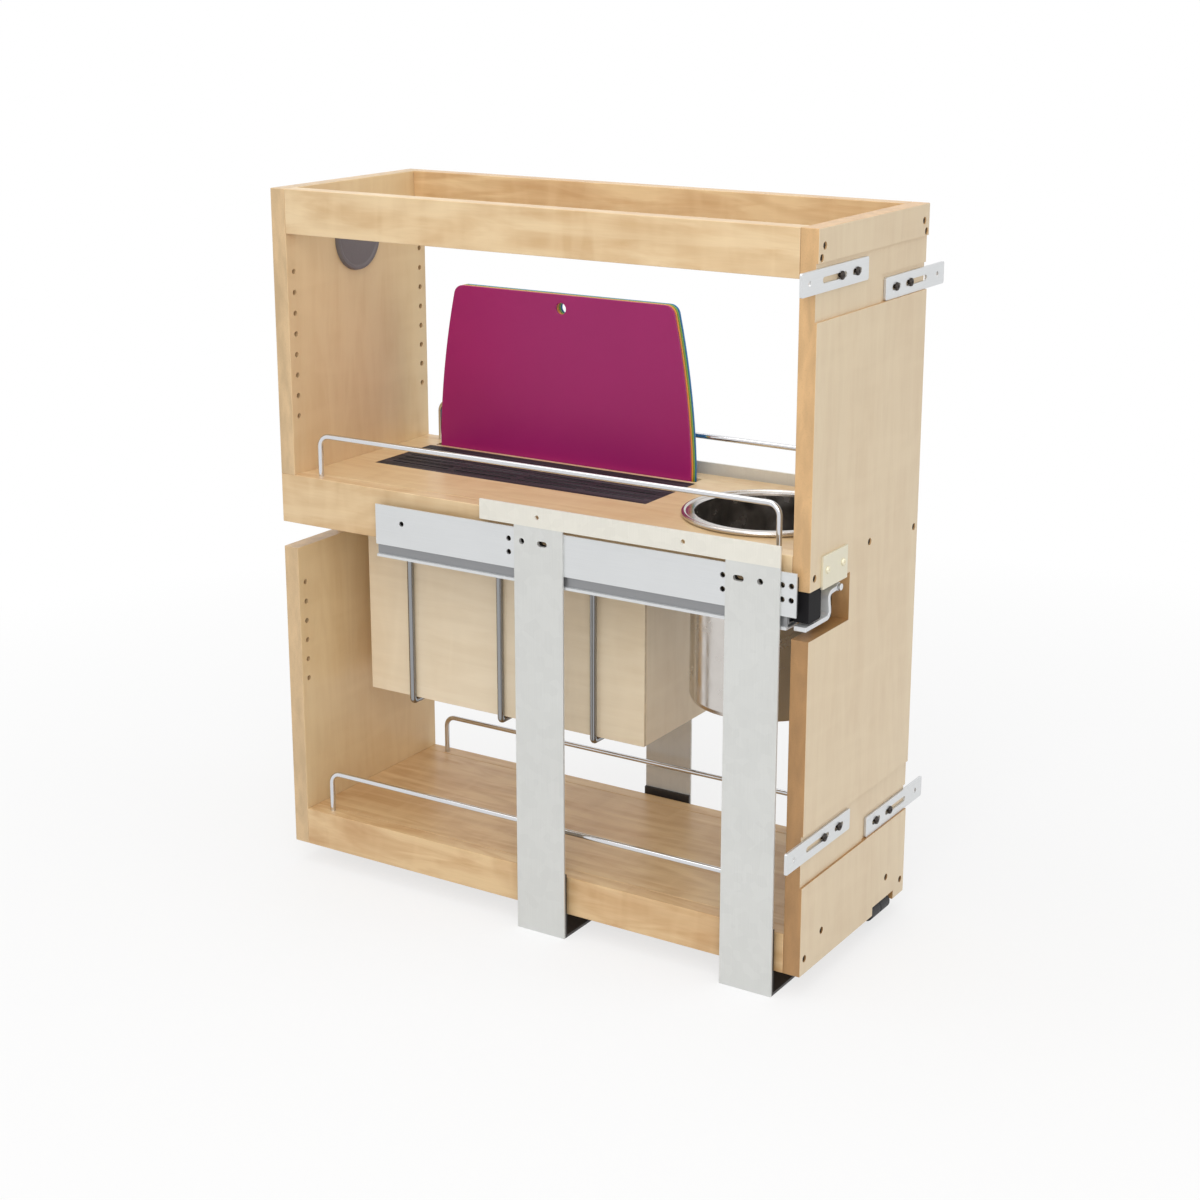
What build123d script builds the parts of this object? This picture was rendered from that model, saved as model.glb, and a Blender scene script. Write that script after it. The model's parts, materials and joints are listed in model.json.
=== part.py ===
from build123d import *
import os

# A tall, narrow organizer that rolls out of a base cabinet on a pair of telescopic runners.
# X runs across the cabinet, Y from the door side to the back, and Z up from the cabinet floor.
# The origin is on the floor, in the middle of the four floor screws.
# Depths are measured backwards from the front face, and heights up from the floor, in mm.

# Wooden body
BODY_WIDTH = 207.0
BODY_DEPTH = 547.0
BODY_HEIGHT = 628.0
FLOOR_GAP = 20.0
PANEL_THICK = 16.0
SIDE_THICK = 16.0
DECK_THICK = 16.0
TOP_RAIL_HEIGHT = 40.0
SHELF_BOARD_HEIGHT = 46.0
SHELF_RISE = 366.0
BASE_BOARD_HEIGHT = 36.0
EDGE_ROUND = 0.8
OVERCUT = 1.0

# Notches of the two end panels
LATCH_NOTCH_WIDTH = 73.0
LATCH_NOTCH_DROP = 24.0
LATCH_NOTCH_HEIGHT = 41.5
REAR_NOTCH_WIDTH = 79.0
REAR_NOTCH_PLAY = 9.0

# Wood screws and shelf peg holes
SCREW_HEAD_RADIUS = 3.0
SCREW_HEAD_THICK = 3.7
SCREW_HEAD_SUNK = 1.2
SCREW_RADIUS = 2.0
SCREW_LENGTH = 38.0
SCREW_DRIVE_RADIUS = 1.8
SCREW_DRIVE_DEPTH = 0.75
SCREW_PLAY = 0.15
RAIL_SCREW_SHARES = ((0.65, 0.35), (0.35, 0.58))
BOARD_SCREW_SHARE = 0.4
DECK_SCREW_INSET = 39.0
MIDDLE_SCREW_SHIFT = 6.0
MIDDLE_SCREW_SHARE = 0.7
PEG_HOLE_RADIUS = 2.5
PEG_HOLE_DEPTH = 10.0
PEG_HOLE_PITCH = 19.0
PEG_HOLE_INSET = 9.5
UPPER_PEG_OFFSET = 54.0
UPPER_PEG_COUNT = 8
LOWER_PEG_OFFSET = 130.0
LOWER_PEG_COUNT = 6

# Round cap on the back panel
CAP_RADIUS = 31.5
CAP_THICK = 4.0
CAP_DROP = 53.0
CAP_SIDE_SHIFT = -3.0
CAP_PLUG_RADIUS = 26.0
CAP_PLUG_DEPTH = 9.0
CAP_RIM_WIDTH = 3.5
CAP_RIM_STEP = 1.2

# Telescopic runners
RUNNER_SIDE_GAP = 7.5
RUNNER_HEIGHT = 15.0
TRACK_LENGTH = 415.0
TRACK_SETBACK = 1.0
FLANGE_FRONT = 8.0
FLANGE_STEP = 12.0
FLANGE_HEIGHT = 37.0
FLANGE_THICK = 1.5
GROOVE_DEPTH = 3.0
LIP_INSET = 1.0
LIP_HEIGHT = 2.5
TRACK_WIDTH = 20.5
TRACK_UPSTAND = 6.5
MEMBER_THICK = 1.2
SIDE_PLAY = 0.8
RUN_PLAY = 0.3
CAGE_HEIGHT = 2.0
CAGE_WEB_THICK = 1.0
CAGE_SIDE_PLAY = 0.9
CAGE_LENGTH = 200.0
CAGE_ROLLER_PITCH = 20.0
MIDDLE_TOP_GAP = 2.8
CAGE_ROLLER_INSET = 1.0
DRAWER_SIDE_PLAY = 1.5
RUNNER_SCREW_SHARES = (0.1, 0.5, 0.9)
RUNNER_HEAD_RADIUS = 2.7
FLANGE_HOLE_RADIUS = 2.4
FLANGE_HOLE_DROP = 11.0
FLANGE_HOLE_STEP = 12.0
FRONT_HOLE_INSET = 4.7
FRONT_HOLE_PITCH = 8.2
SECOND_HOLE_GAP = 1.1
THIRD_HOLE_GAP = 4.4
REAR_HOLE_SETBACK = 29.0
REAR_HOLE_DROP = 15.0
HOUSING_THICK = 4.0
HOUSING_TOP_GAP = 4.0
HOUSING_END_GAP = 1.0
HOUSING_SCREW_PLAY = 0.2

# Leg frames and floor plates
STRAP_THICK = 2.0
STRAP_WIDTH = 50.0
FRONT_STRAP = 22.0
REAR_STRAP = 230.0
STRIP_HEIGHT = 18.0
STRIP_REACH = 21.0
STRIP_TAIL = 36.0
STRIP_HOLE_RADIUS = 2.0
STRIP_HOLE_OFFSETS = (26.0, 40.0)
STRAP_SLOT_LENGTH = 10.0
STRAP_SLOT_WIDTH = 5.0
STRAP_HOLE_RADIUS = 2.7
FRONT_STRAP_SHARES = (0.76, 0.36)
REAR_STRAP_SHARES = (0.42, 0.84)
PLATE_THICK = 2.5
PLATE_UPTURN = 61.0
FLOOR_SCREW_SPAN = 140.0
FLOOR_HOLE_RADIUS = 2.75
RIVET_RADIUS = 1.6
RIVET_HEAD_RADIUS = 3.0
RIVET_HEAD_THICK = 0.8
RIVET_PLAY = 0.05
RIVET_INSET = 12.0

# Retaining rods
ROD_RADIUS = 2.5
ROD_RISE = 38.0
ROD_BEND = 10.0
ROD_INSET = 10.5
ROD_FRONT = 34.0
ROD_REAR_SETBACK = 39.0
ROD_SOCKET = 14.0
ROD_PLAY = 0.15

# Utensil bin
BIN_RADIUS = 66.0
BIN_WALL = 1.0
BIN_SETBACK = 9.5
BIN_DROP = 166.0
BIN_RIM_WIDTH = 9.0
BIN_BEAD_RADIUS = 2.2
BIN_CORNER = 6.0
BIN_HOLE_PLAY = 1.5

# Cutting boards and the slot that they stand in
BOARD_COUNT = 4
BOARD_THICK = 2.4
BOARD_GAP = 0.8
BOARD_TAPER = 20.5
BOARD_REACH = 159.0
BOARD_SHOULDER = 145.0
BOARD_BULGE_SHARE = 0.33
BOARD_CORNER = 10.0
BOARD_FOOT_CORNER = 8.0
BOARD_EYE_RADIUS = 5.5
BOARD_EYE_DROP = 13.0
SLOT_SIDE_PLAY = 1.0
SLOT_END_PLAY = 5.5
SLOT_SETBACK = 3.0
SLOT_REAR_GAP = 34.0
SLOT_INNER_WOOD = 4.5

# Knife insert
INSERT_WIDTH = 88.0
INSERT_BIN_GAP = 41.5
INSERT_REAR_GAP = 31.0
INSERT_THICK = 3.0
INSERT_LIP = 4.0
INSERT_SKIRT = 11.0
INSERT_SKIRT_WALL = 2.5
INSERT_CORNER = 2.0
INSERT_PLAY = 0.3
SLIT_WIDTH = 3.0
SLIT_COLUMNS = 7
SLIT_ROWS = 4
SLIT_EDGE = 10.0
SLIT_BRIDGE = 8.0

# Box under the deck
BOX_WALL = 3.5
BOX_SIDE_PLAY = 0.7
BOX_HEIGHT = 207.0
BOX_SIDE_WOOD = 8.0
BOX_END_WOOD = 5.0
CRADLE_RADIUS = 3.0
CRADLE_COUNT = 3
CRADLE_SOCKET = 8.0
CRADLE_END_INSET = 52.0
CRADLE_HOOK_PLAY = 15.0
CONTACT_GAP = 0.3

# Door brackets
BRACKET_LENGTH = 118.0
BRACKET_HEIGHT = 19.0
BRACKET_THICK = 2.0
BRACKET_PLAY = 0.2
BRACKET_SLOT_WIDTH = 5.0
LONG_SLOT_LENGTH = 42.0
LONG_SLOT_OFFSET = 61.0
LONG_SLOT_SCREW = 49.0
SHORT_SLOT_LENGTH = 16.0
SHORT_SLOT_OFFSET = 21.0
BRACKET_HOLE_RADIUS = 2.3
BRACKET_HOLE_INSET = 14.0
RECESS_SPARE = 4.0
RECESS_DEPTH = 2.0
POCKET_DEPTH = 3.6
UPPER_RECESS_DROP = 73.0
LOWER_RECESS_RISE = 81.0
UPPER_LEFT_OVERHANG = 28.0
LOWER_LEFT_OVERHANG = 30.0
UPPER_RIGHT_OVERHANG = 38.0
LOWER_RIGHT_OVERHANG = 36.0
POCKET_END_PLAY = 7.0
CLAMP_HEAD_RADIUS = 3.6
CLAMP_HEAD_THICK = 1.6
CLAMP_RADIUS = 1.8
CLAMP_LENGTH = 13.0

# Latch in the notch of the front panel
LATCH_BLOCK_WIDTH = 22.5
LATCH_BLOCK_HEIGHT = 27.0
LATCH_BLOCK_FRONT = 1.0
LATCH_BLOCK_DEPTH = 14.0
LATCH_BLOCK_INSET = 0.5
LATCH_BLOCK_CORNER = 3.0
LEVER_THICK = 4.0
LEVER_FRONT = 2.5
LEVER_DEPTH = 11.0
LEVER_EYE_RADIUS = 3.6
LEVER_PIN_RADIUS = 1.5
LEVER_PIN_PLAY = 0.05
LATCH_PIN_HEAD_RADIUS = 3.0
LEVER_PIN_GAP = 35.5
LEVER_PIN_DROP = 9.5
LEVER_ARM_REACH = 18.0
LEVER_SHOULDER_DROP = 11.0
LEVER_BULGE = 3.5
LEVER_FOOT_GAP = 4.5
LEVER_BEND = 5.0
LATCH_PLATE_INSET = 19.0
LATCH_PLATE_WIDTH = 45.0
LATCH_PLATE_HEIGHT = 28.0
LATCH_PLATE_THICK = 2.0
LATCH_EAR_WIDTH = 10.0
LATCH_SCREW_INSET = 8.5
LATCH_SCREW_HEAD_RADIUS = 3.2
LATCH_SCREW_HEAD_THICK = 1.5

# Roller under the front panel
ROLLER_RADIUS = 7.0
ROLLER_LENGTH = 38.0
ROLLER_INSET = 44.0
ROLLER_DROP = 1.0
ROLLER_TOP_PLAY = 1.0
ROLLER_PLATE_THICK = 1.5
ROLLER_END_PLAY = 0.8
ROLLER_AXLE_RADIUS = 2.0
ROLLER_AXLE_PLAY = 0.06
ROLLER_EAR_RADIUS = 3.6
ROLLER_EDGE = 1.2

# Places worked out from the sizes above
HALF = BODY_WIDTH / 2
INNER_HALF = HALF - SIDE_THICK
BODY_TOP = FLOOR_GAP + BODY_HEIGHT
BACK_FRONT = BODY_DEPTH - PANEL_THICK
SHELF_TOP = FLOOR_GAP + SHELF_RISE
SHELF_FOOT = SHELF_TOP - SHELF_BOARD_HEIGHT
DECK_FOOT = SHELF_TOP - DECK_THICK
BASE_TOP = FLOOR_GAP + BASE_BOARD_HEIGHT
ORIGIN_DEPTH = (FRONT_STRAP + REAR_STRAP + STRAP_WIDTH) / 2
CAP_HEIGHT = BODY_TOP - CAP_DROP
SLIDE_OUTER_HALF = HALF + RUNNER_SIDE_GAP
SLIDE_FOOT = SHELF_FOOT - RUNNER_HEIGHT
FLANGE_FOOT = SLIDE_FOOT + FLANGE_STEP
FLANGE_TOP = FLANGE_FOOT + FLANGE_HEIGHT
FLANGE_HOLE_TOP = FLANGE_TOP - FLANGE_HOLE_DROP
STRIP_TOP = FLANGE_TOP + STRIP_REACH
STRAP_OUTER = SLIDE_OUTER_HALF + STRAP_THICK
TRACK_FRONT = PANEL_THICK + TRACK_SETBACK
TRACK_REAR = TRACK_FRONT + TRACK_LENGTH
LATCH_NOTCH_FOOT = SHELF_FOOT - LATCH_NOTCH_DROP
LATCH_NOTCH_TOP = LATCH_NOTCH_FOOT + LATCH_NOTCH_HEIGHT
LATCH_BLOCK_LEFT = -HALF + LATCH_BLOCK_INSET
LATCH_BLOCK_RIGHT = LATCH_BLOCK_LEFT + LATCH_BLOCK_WIDTH
REAR_NOTCH_FOOT = SLIDE_FOOT - REAR_NOTCH_PLAY
SLOT_RIGHT = INNER_HALF - BOX_SIDE_PLAY - BOX_WALL
BOARD_PITCH = BOARD_THICK + BOARD_GAP
SLOT_SPAN = BOARD_COUNT * BOARD_PITCH - BOARD_GAP + 2 * SLOT_SIDE_PLAY
SLOT_LEFT = SLOT_RIGHT - SLOT_SPAN
BIN_HOLE_RADIUS = BIN_RADIUS + BIN_HOLE_PLAY
BIN_HOLE_FRONT = PANEL_THICK + BIN_SETBACK
BIN_DEPTH = BIN_HOLE_FRONT + BIN_HOLE_RADIUS
BIN_FOOT = SHELF_TOP - BIN_DROP
INSERT_RIGHT = SLOT_LEFT - SLOT_INNER_WOOD
INSERT_LEFT = INSERT_RIGHT - INSERT_WIDTH
INSERT_FRONT = BIN_DEPTH + BIN_HOLE_RADIUS + INSERT_BIN_GAP
INSERT_REAR = BACK_FRONT - INSERT_REAR_GAP
SLOT_FRONT = INSERT_FRONT + SLOT_SETBACK
SLOT_REAR = BACK_FRONT - SLOT_REAR_GAP
BOARD_FRONT = SLOT_FRONT + SLOT_END_PLAY
BOARD_REAR = SLOT_REAR - SLOT_END_PLAY
BOX_LEFT = INSERT_LEFT - BOX_SIDE_WOOD
BOX_RIGHT = SLOT_RIGHT + BOX_WALL
BOX_FRONT = min(INSERT_FRONT, SLOT_FRONT) - BOX_END_WOOD
BOX_REAR = max(INSERT_REAR, SLOT_REAR) + BOX_END_WOOD
BOX_FOOT = DECK_FOOT - BOX_HEIGHT
BOX_FLOOR = BOX_FOOT + BOX_WALL
ROD_X = HALF - ROD_INSET
ROD_REAR = BODY_DEPTH - ROD_REAR_SETBACK
MIDDLE_INNER = GROOVE_DEPTH + FLANGE_THICK + SIDE_PLAY
MIDDLE_OUTER = TRACK_WIDTH - FLANGE_THICK - SIDE_PLAY
OUTER_CAGE_FOOT = SLIDE_FOOT + FLANGE_THICK + RUN_PLAY
MIDDLE_FOOT = OUTER_CAGE_FOOT + CAGE_HEIGHT + RUN_PLAY
INNER_CAGE_FOOT = MIDDLE_FOOT + MEMBER_THICK + RUN_PLAY
DRAWER_FOOT = INNER_CAGE_FOOT + CAGE_HEIGHT + RUN_PLAY
CRADLE_BEND = CRADLE_RADIUS + CONTACT_GAP
CRADLE_X_LEFT = BOX_LEFT - CRADLE_BEND
CRADLE_X_RIGHT = BOX_RIGHT + CRADLE_BEND
RECESS_HEIGHT = 2 * (BRACKET_HEIGHT + RECESS_SPARE)
UPPER_RECESS = BODY_TOP - UPPER_RECESS_DROP
LOWER_RECESS = FLOOR_GAP + LOWER_RECESS_RISE
ROLLER_HEIGHT = FLOOR_GAP - ROLLER_DROP
ROLLER_PLATE_FOOT = ROLLER_HEIGHT + ROLLER_RADIUS + ROLLER_TOP_PLAY


def brick(x0, x1, depth0, depth1, height0, height1):
    """A block between two x, two depths and two heights."""
    centre = Pos((x0 + x1) / 2, (depth0 + depth1) / 2 - ORIGIN_DEPTH, (height0 + height1) / 2)
    return centre * Box(x1 - x0, depth1 - depth0, height1 - height0)


def board(x0, x1, depth0, depth1, height0, height1):
    """A block of wood with lightly rounded edges."""
    plain = brick(x0, x1, depth0, depth1, height0, height1)
    least = min(x1 - x0, depth1 - depth0, height1 - height0)
    return fillet(plain.edges(), min(EDGE_ROUND, least / 4))


def rod_x(x0, x1, depth, height, radius):
    """A round bar along X."""
    return Pos((x0 + x1) / 2, depth - ORIGIN_DEPTH, height) * Rot(0, 90, 0) * Cylinder(radius, x1 - x0)


def rod_y(depth0, depth1, x, height, radius):
    """A round bar along Y."""
    centre = Pos(x, (depth0 + depth1) / 2 - ORIGIN_DEPTH, height)
    return centre * Rot(90, 0, 0) * Cylinder(radius, depth1 - depth0)


def rod_z(height0, height1, x, depth, radius):
    """A round bar along Z."""
    return Pos(x, depth - ORIGIN_DEPTH, (height0 + height1) / 2) * Cylinder(radius, height1 - height0)


def slot_x(x, depth, height, length, width, through):
    """A cutter with rounded ends, long in depth, that passes through a side sheet."""
    outline = Plane.YZ * SlotOverall(length, width)
    return Pos(x, depth - ORIGIN_DEPTH, height) * extrude(outline, amount=through / 2, both=True)


def slot_y(x, depth, height, length, width, through):
    """A cutter with rounded ends, long in X, that passes through a front plate."""
    outline = Plane.XZ * SlotOverall(length, width)
    return Pos(x, depth - ORIGIN_DEPTH, height) * extrude(outline, amount=through / 2, both=True)


def bent_rod(points, bend, radius):
    """A round wire along a path of straight runs and tangent bends."""
    corners = [(x, depth - ORIGIN_DEPTH, height) for x, depth, height in points]
    path = FilletPolyline(*corners, radius=bend)
    return sweep(Plane(path @ 0, z_dir=path % 0) * Circle(radius), path=path)


def mirrored(shape):
    """The same piece for the other side of the organizer."""
    return mirror(shape, about=Plane.YZ)


# Wood screws through the end panels

def panel_screw_places():
    """x, height and length of each wood screw in an end panel."""
    places = []
    for side in (-1, 1):
        for inset_share, drop_share in RAIL_SCREW_SHARES:
            x = HALF - inset_share * SIDE_THICK
            places.append((side * x, BODY_TOP - drop_share * TOP_RAIL_HEIGHT, SCREW_LENGTH))
        board_x = side * (HALF - SIDE_THICK / 2)
        places.append((board_x, SHELF_TOP - BOARD_SCREW_SHARE * SHELF_BOARD_HEIGHT, SCREW_LENGTH))
        places.append((board_x, FLOOR_GAP + BOARD_SCREW_SHARE * BASE_BOARD_HEIGHT, SCREW_LENGTH))
        places.append((side * (HALF - DECK_SCREW_INSET), BASE_TOP - DECK_THICK / 2, SCREW_LENGTH))
    short = min(SCREW_LENGTH, BIN_HOLE_FRONT - SCREW_HEAD_SUNK - SCREW_RADIUS)
    places.append((MIDDLE_SCREW_SHIFT, SHELF_TOP - MIDDLE_SCREW_SHARE * DECK_THICK, short))
    return places


def wood_screw(x, height, length):
    """A countersunk screw through the front panel into the end of a board."""
    head0 = SCREW_HEAD_SUNK
    head1 = head0 + SCREW_HEAD_THICK
    head = rod_y(head0, head1, x, height, SCREW_HEAD_RADIUS)
    shank = rod_y(head1, head0 + length, x, height, SCREW_RADIUS)
    drive = rod_y(0, head0 + SCREW_DRIVE_DEPTH, x, height, SCREW_DRIVE_RADIUS)
    return head + shank - drive


def wood_screw_bore(x, height, length):
    """The cutter that leaves room for one wood screw."""
    head1 = SCREW_HEAD_SUNK + SCREW_HEAD_THICK
    tip = SCREW_HEAD_SUNK + length + SCREW_PLAY
    head = rod_y(-OVERCUT, head1, x, height, SCREW_HEAD_RADIUS + SCREW_PLAY)
    return head + rod_y(0, tip, x, height, SCREW_RADIUS + SCREW_PLAY)


def from_back(shape):
    """The same fastener driven in from the back face."""
    middle = Plane.XZ.offset(ORIGIN_DEPTH - BODY_DEPTH / 2)
    return mirror(shape, about=middle)


def back_screw_places():
    """The places of the screws in the back panel, where the shelf boards run past it."""
    return [
        (x, height, length)
        for x, height, length in panel_screw_places()
        if not (abs(x) > INNER_HALF and SHELF_FOOT < height < SHELF_TOP)
    ]


def screw_sets():
    """The wood screws of the front panel and of the back panel."""
    front = Part() + [wood_screw(*place) for place in panel_screw_places()]
    back = Part() + [from_back(wood_screw(*place)) for place in back_screw_places()]
    return front, back


def screw_bores():
    """Cutters for all the wood screws."""
    bores = [wood_screw_bore(*place) for place in panel_screw_places()]
    return bores + [from_back(wood_screw_bore(*place)) for place in back_screw_places()]


def peg_holes(mouth, inward):
    """Two columns of blind holes on each side of an end panel's inner face."""
    holes = []
    start, stop = sorted((mouth - inward * OVERCUT, mouth + inward * PEG_HOLE_DEPTH))
    columns = (
        (SHELF_TOP + UPPER_PEG_OFFSET, UPPER_PEG_COUNT),
        (BASE_TOP + LOWER_PEG_OFFSET, LOWER_PEG_COUNT),
    )
    for first, count in columns:
        for index in range(count):
            for side in (-1, 1):
                x = side * (HALF - PEG_HOLE_INSET)
                height = first + index * PEG_HOLE_PITCH
                holes.append(rod_y(start, stop, x, height, PEG_HOLE_RADIUS))
    return holes


# Wooden pieces

def bracket_places():
    """Name, side, overhang and lower edge of each door bracket."""
    low = BRACKET_PLAY
    high = RECESS_HEIGHT / 2 - BRACKET_PLAY
    return [
        ("upper_left_door_bracket", -1, UPPER_LEFT_OVERHANG, UPPER_RECESS + high),
        ("upper_right_door_bracket", 1, UPPER_RIGHT_OVERHANG, UPPER_RECESS + low),
        ("lower_left_door_bracket", -1, LOWER_LEFT_OVERHANG, LOWER_RECESS + high),
        ("lower_right_door_bracket", 1, LOWER_RIGHT_OVERHANG, LOWER_RECESS + low),
    ]


def bracket_floor(side):
    """Depth of the wood behind a door bracket."""
    return RECESS_DEPTH if side < 0 else POCKET_DEPTH


def bracket_inner_end(side, overhang):
    """x of the end of a door bracket that lies over the panel."""
    return side * (HALF + overhang - BRACKET_LENGTH)


def clamp_places():
    """x, height and wood depth of each screw that clamps a door bracket."""
    places = []
    for _, side, overhang, foot in bracket_places():
        inner_end = bracket_inner_end(side, overhang)
        for offset in (SHORT_SLOT_OFFSET, LONG_SLOT_SCREW):
            places.append((inner_end + side * offset, foot + BRACKET_HEIGHT / 2, bracket_floor(side)))
    return places


def bracket_recesses():
    """The shallow channels that the door brackets lie in, with a deeper pocket on the right."""
    cuts = []
    for foot, overhang in ((UPPER_RECESS, UPPER_RIGHT_OVERHANG), (LOWER_RECESS, LOWER_RIGHT_OVERHANG)):
        pocket_left = bracket_inner_end(1, overhang) - POCKET_END_PLAY
        side = HALF + OVERCUT
        cuts.append(brick(-side, side, -OVERCUT, RECESS_DEPTH, foot, foot + RECESS_HEIGHT))
        cuts.append(brick(pocket_left, side, -OVERCUT, POCKET_DEPTH, foot, foot + RECESS_HEIGHT / 2))
    return cuts


def front_panel():
    panel = board(-HALF, HALF, 0, PANEL_THICK, FLOOR_GAP, BODY_TOP)
    through = PANEL_THICK + OVERCUT
    notch_right = -HALF + LATCH_NOTCH_WIDTH
    cuts = [brick(
        -HALF - OVERCUT, notch_right, -OVERCUT, through, LATCH_NOTCH_FOOT, LATCH_NOTCH_TOP
    )]
    cuts += bracket_recesses()
    x = roller_place()[0]
    reach = ROLLER_LENGTH / 2 + ROLLER_END_PLAY + ROLLER_PLATE_THICK + CONTACT_GAP
    notch_top = ROLLER_PLATE_FOOT + ROLLER_PLATE_THICK
    cuts.append(brick(x - reach, x + reach, -OVERCUT, through, FLOOR_GAP - OVERCUT, notch_top))
    pilot = CLAMP_RADIUS + SCREW_PLAY
    for screw_x, height, floor in clamp_places():
        cuts.append(rod_y(-OVERCUT, floor + CLAMP_LENGTH, screw_x, height, pilot))
    for screw_x, height in latch_screw_places():
        cuts.append(rod_y(-OVERCUT, CLAMP_LENGTH, screw_x, height, pilot))
    return panel - cuts - peg_holes(PANEL_THICK, -1) - screw_bores()


def back_panel():
    panel = board(-HALF, HALF, BACK_FRONT, BODY_DEPTH, FLOOR_GAP, BODY_TOP)
    cuts = []
    front, rear = BACK_FRONT - OVERCUT, BODY_DEPTH + OVERCUT
    for side in (-1, 1):
        outer = side * (HALF + OVERCUT)
        x0, x1 = sorted((side * (HALF - REAR_NOTCH_WIDTH), outer))
        cuts.append(brick(x0, x1, front, rear, REAR_NOTCH_FOOT, DECK_FOOT))
        x0, x1 = sorted((side * INNER_HALF, outer))
        cuts.append(brick(x0, x1, front, rear, REAR_NOTCH_FOOT, SHELF_TOP))
    plug_radius = CAP_PLUG_RADIUS + SCREW_PLAY
    plug_end = BACK_FRONT + CAP_PLUG_DEPTH + SCREW_PLAY
    cuts.append(rod_y(front, plug_end, CAP_SIDE_SHIFT, CAP_HEIGHT, plug_radius))
    return panel - cuts - peg_holes(BACK_FRONT, 1) - screw_bores()


def round_cap():
    """A plain cap with a raised rim, plugged into the back panel's inner face."""
    x, height = CAP_SIDE_SHIFT, CAP_HEIGHT
    front = BACK_FRONT - CAP_THICK
    disc = rod_y(front, BACK_FRONT, x, height, CAP_RADIUS)
    dish = rod_y(front - OVERCUT, front + CAP_RIM_STEP, x, height, CAP_RADIUS - CAP_RIM_WIDTH)
    plug = rod_y(BACK_FRONT, BACK_FRONT + CAP_PLUG_DEPTH, x, height, CAP_PLUG_RADIUS)
    return disc - dish + plug


def top_rail():
    rail = board(-HALF, -INNER_HALF, PANEL_THICK, BACK_FRONT, BODY_TOP - TOP_RAIL_HEIGHT, BODY_TOP)
    return rail - screw_bores()


def rod_sockets(top):
    """Blind holes for the ends of a retaining rod, in a board whose top is at the given height."""
    return [
        rod_z(top - ROD_SOCKET - ROD_PLAY, top + OVERCUT, -ROD_X, depth, ROD_RADIUS + ROD_PLAY)
        for depth in (ROD_FRONT, ROD_REAR)
    ]


def shelf_board():
    side = board(-HALF, -INNER_HALF, PANEL_THICK, BODY_DEPTH, SHELF_FOOT, SHELF_TOP)
    pilots = [
        rod_z(SHELF_FOOT - OVERCUT, SHELF_FOOT + CLAMP_LENGTH, x, depth, CLAMP_RADIUS + SCREW_PLAY)
        for x, depth in runner_screw_places()
    ]
    return side - rod_sockets(SHELF_TOP) - pilots - screw_bores()


def base_board():
    side = board(-HALF, -INNER_HALF, PANEL_THICK, BACK_FRONT, FLOOR_GAP, BASE_TOP)
    return side - rod_sockets(BASE_TOP) - screw_bores()


def base_deck():
    deck = board(-INNER_HALF, INNER_HALF, PANEL_THICK, BACK_FRONT, BASE_TOP - DECK_THICK, BASE_TOP)
    return deck - screw_bores()


def shelf_deck():
    """The middle deck, with its openings for the bin, the knife insert and the boards."""
    deck = board(-INNER_HALF, INNER_HALF, PANEL_THICK, BACK_FRONT, DECK_FOOT, SHELF_TOP)
    below, above = DECK_FOOT - OVERCUT, SHELF_TOP + OVERCUT
    play = INSERT_PLAY
    cuts = [rod_z(below, above, 0, BIN_DEPTH, BIN_HOLE_RADIUS)]
    cuts.append(brick(SLOT_LEFT, SLOT_RIGHT, SLOT_FRONT, SLOT_REAR, below, above))
    cuts.append(brick(
        INSERT_LEFT - play, INSERT_RIGHT + play,
        INSERT_FRONT - play, INSERT_REAR + play,
        SHELF_TOP - INSERT_THICK - play, above,
    ))
    lip = INSERT_LIP - play
    cuts.append(brick(
        INSERT_LEFT + lip, INSERT_RIGHT - lip,
        INSERT_FRONT + lip, INSERT_REAR - lip,
        below, above,
    ))
    socket_top = DECK_FOOT + CRADLE_SOCKET
    for depth in cradle_depths():
        cuts.append(rod_z(below, socket_top, CRADLE_X_LEFT, depth, CRADLE_RADIUS + ROD_PLAY))
    return deck - cuts - screw_bores()


# Box that holds the knives and the cutting boards

def box_panels():
    """The panels of the open box that hangs under the deck."""
    left, right = BOX_LEFT, BOX_RIGHT
    front, rear = BOX_FRONT, BOX_REAR
    wall = BOX_WALL
    divider = (INSERT_RIGHT + SLOT_LEFT) / 2
    span = min(wall, SLOT_INNER_WOOD)
    return {
        "box_left_side": board(left, left + wall, front, rear, BOX_FOOT, DECK_FOOT),
        "box_right_side": board(right - wall, right, front, rear, BOX_FOOT, DECK_FOOT),
        "box_front_end": board(left + wall, right - wall, front, front + wall, BOX_FOOT, DECK_FOOT),
        "box_rear_end": board(left + wall, right - wall, rear - wall, rear, BOX_FOOT, DECK_FOOT),
        "box_bottom": board(left + wall, right - wall, front + wall, rear - wall, BOX_FOOT, BOX_FLOOR),
        "box_divider": board(
            divider - span / 2, divider + span / 2, front + wall, rear - wall, BOX_FLOOR, DECK_FOOT
        ),
    }


def cradle_depths():
    """Depths of the wires that carry the box."""
    first = BOX_FRONT + CRADLE_END_INSET
    last = BOX_REAR - CRADLE_END_INSET
    step = (last - first) / (CRADLE_COUNT - 1)
    return [first + index * step for index in range(CRADLE_COUNT)]


def box_cradles():
    """Wires that plug into the deck, pass under the box and hook up its right side."""
    foot = BOX_FOOT - CRADLE_BEND
    wires = []
    for depth in cradle_depths():
        points = [
            (CRADLE_X_LEFT, depth, DECK_FOOT + CRADLE_SOCKET - ROD_PLAY),
            (CRADLE_X_LEFT, depth, foot),
            (CRADLE_X_RIGHT, depth, foot),
            (CRADLE_X_RIGHT, depth, SLIDE_FOOT - CRADLE_HOOK_PLAY),
        ]
        wires.append(bent_rod(points, CRADLE_BEND, CRADLE_RADIUS))
    return Part() + wires


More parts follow.
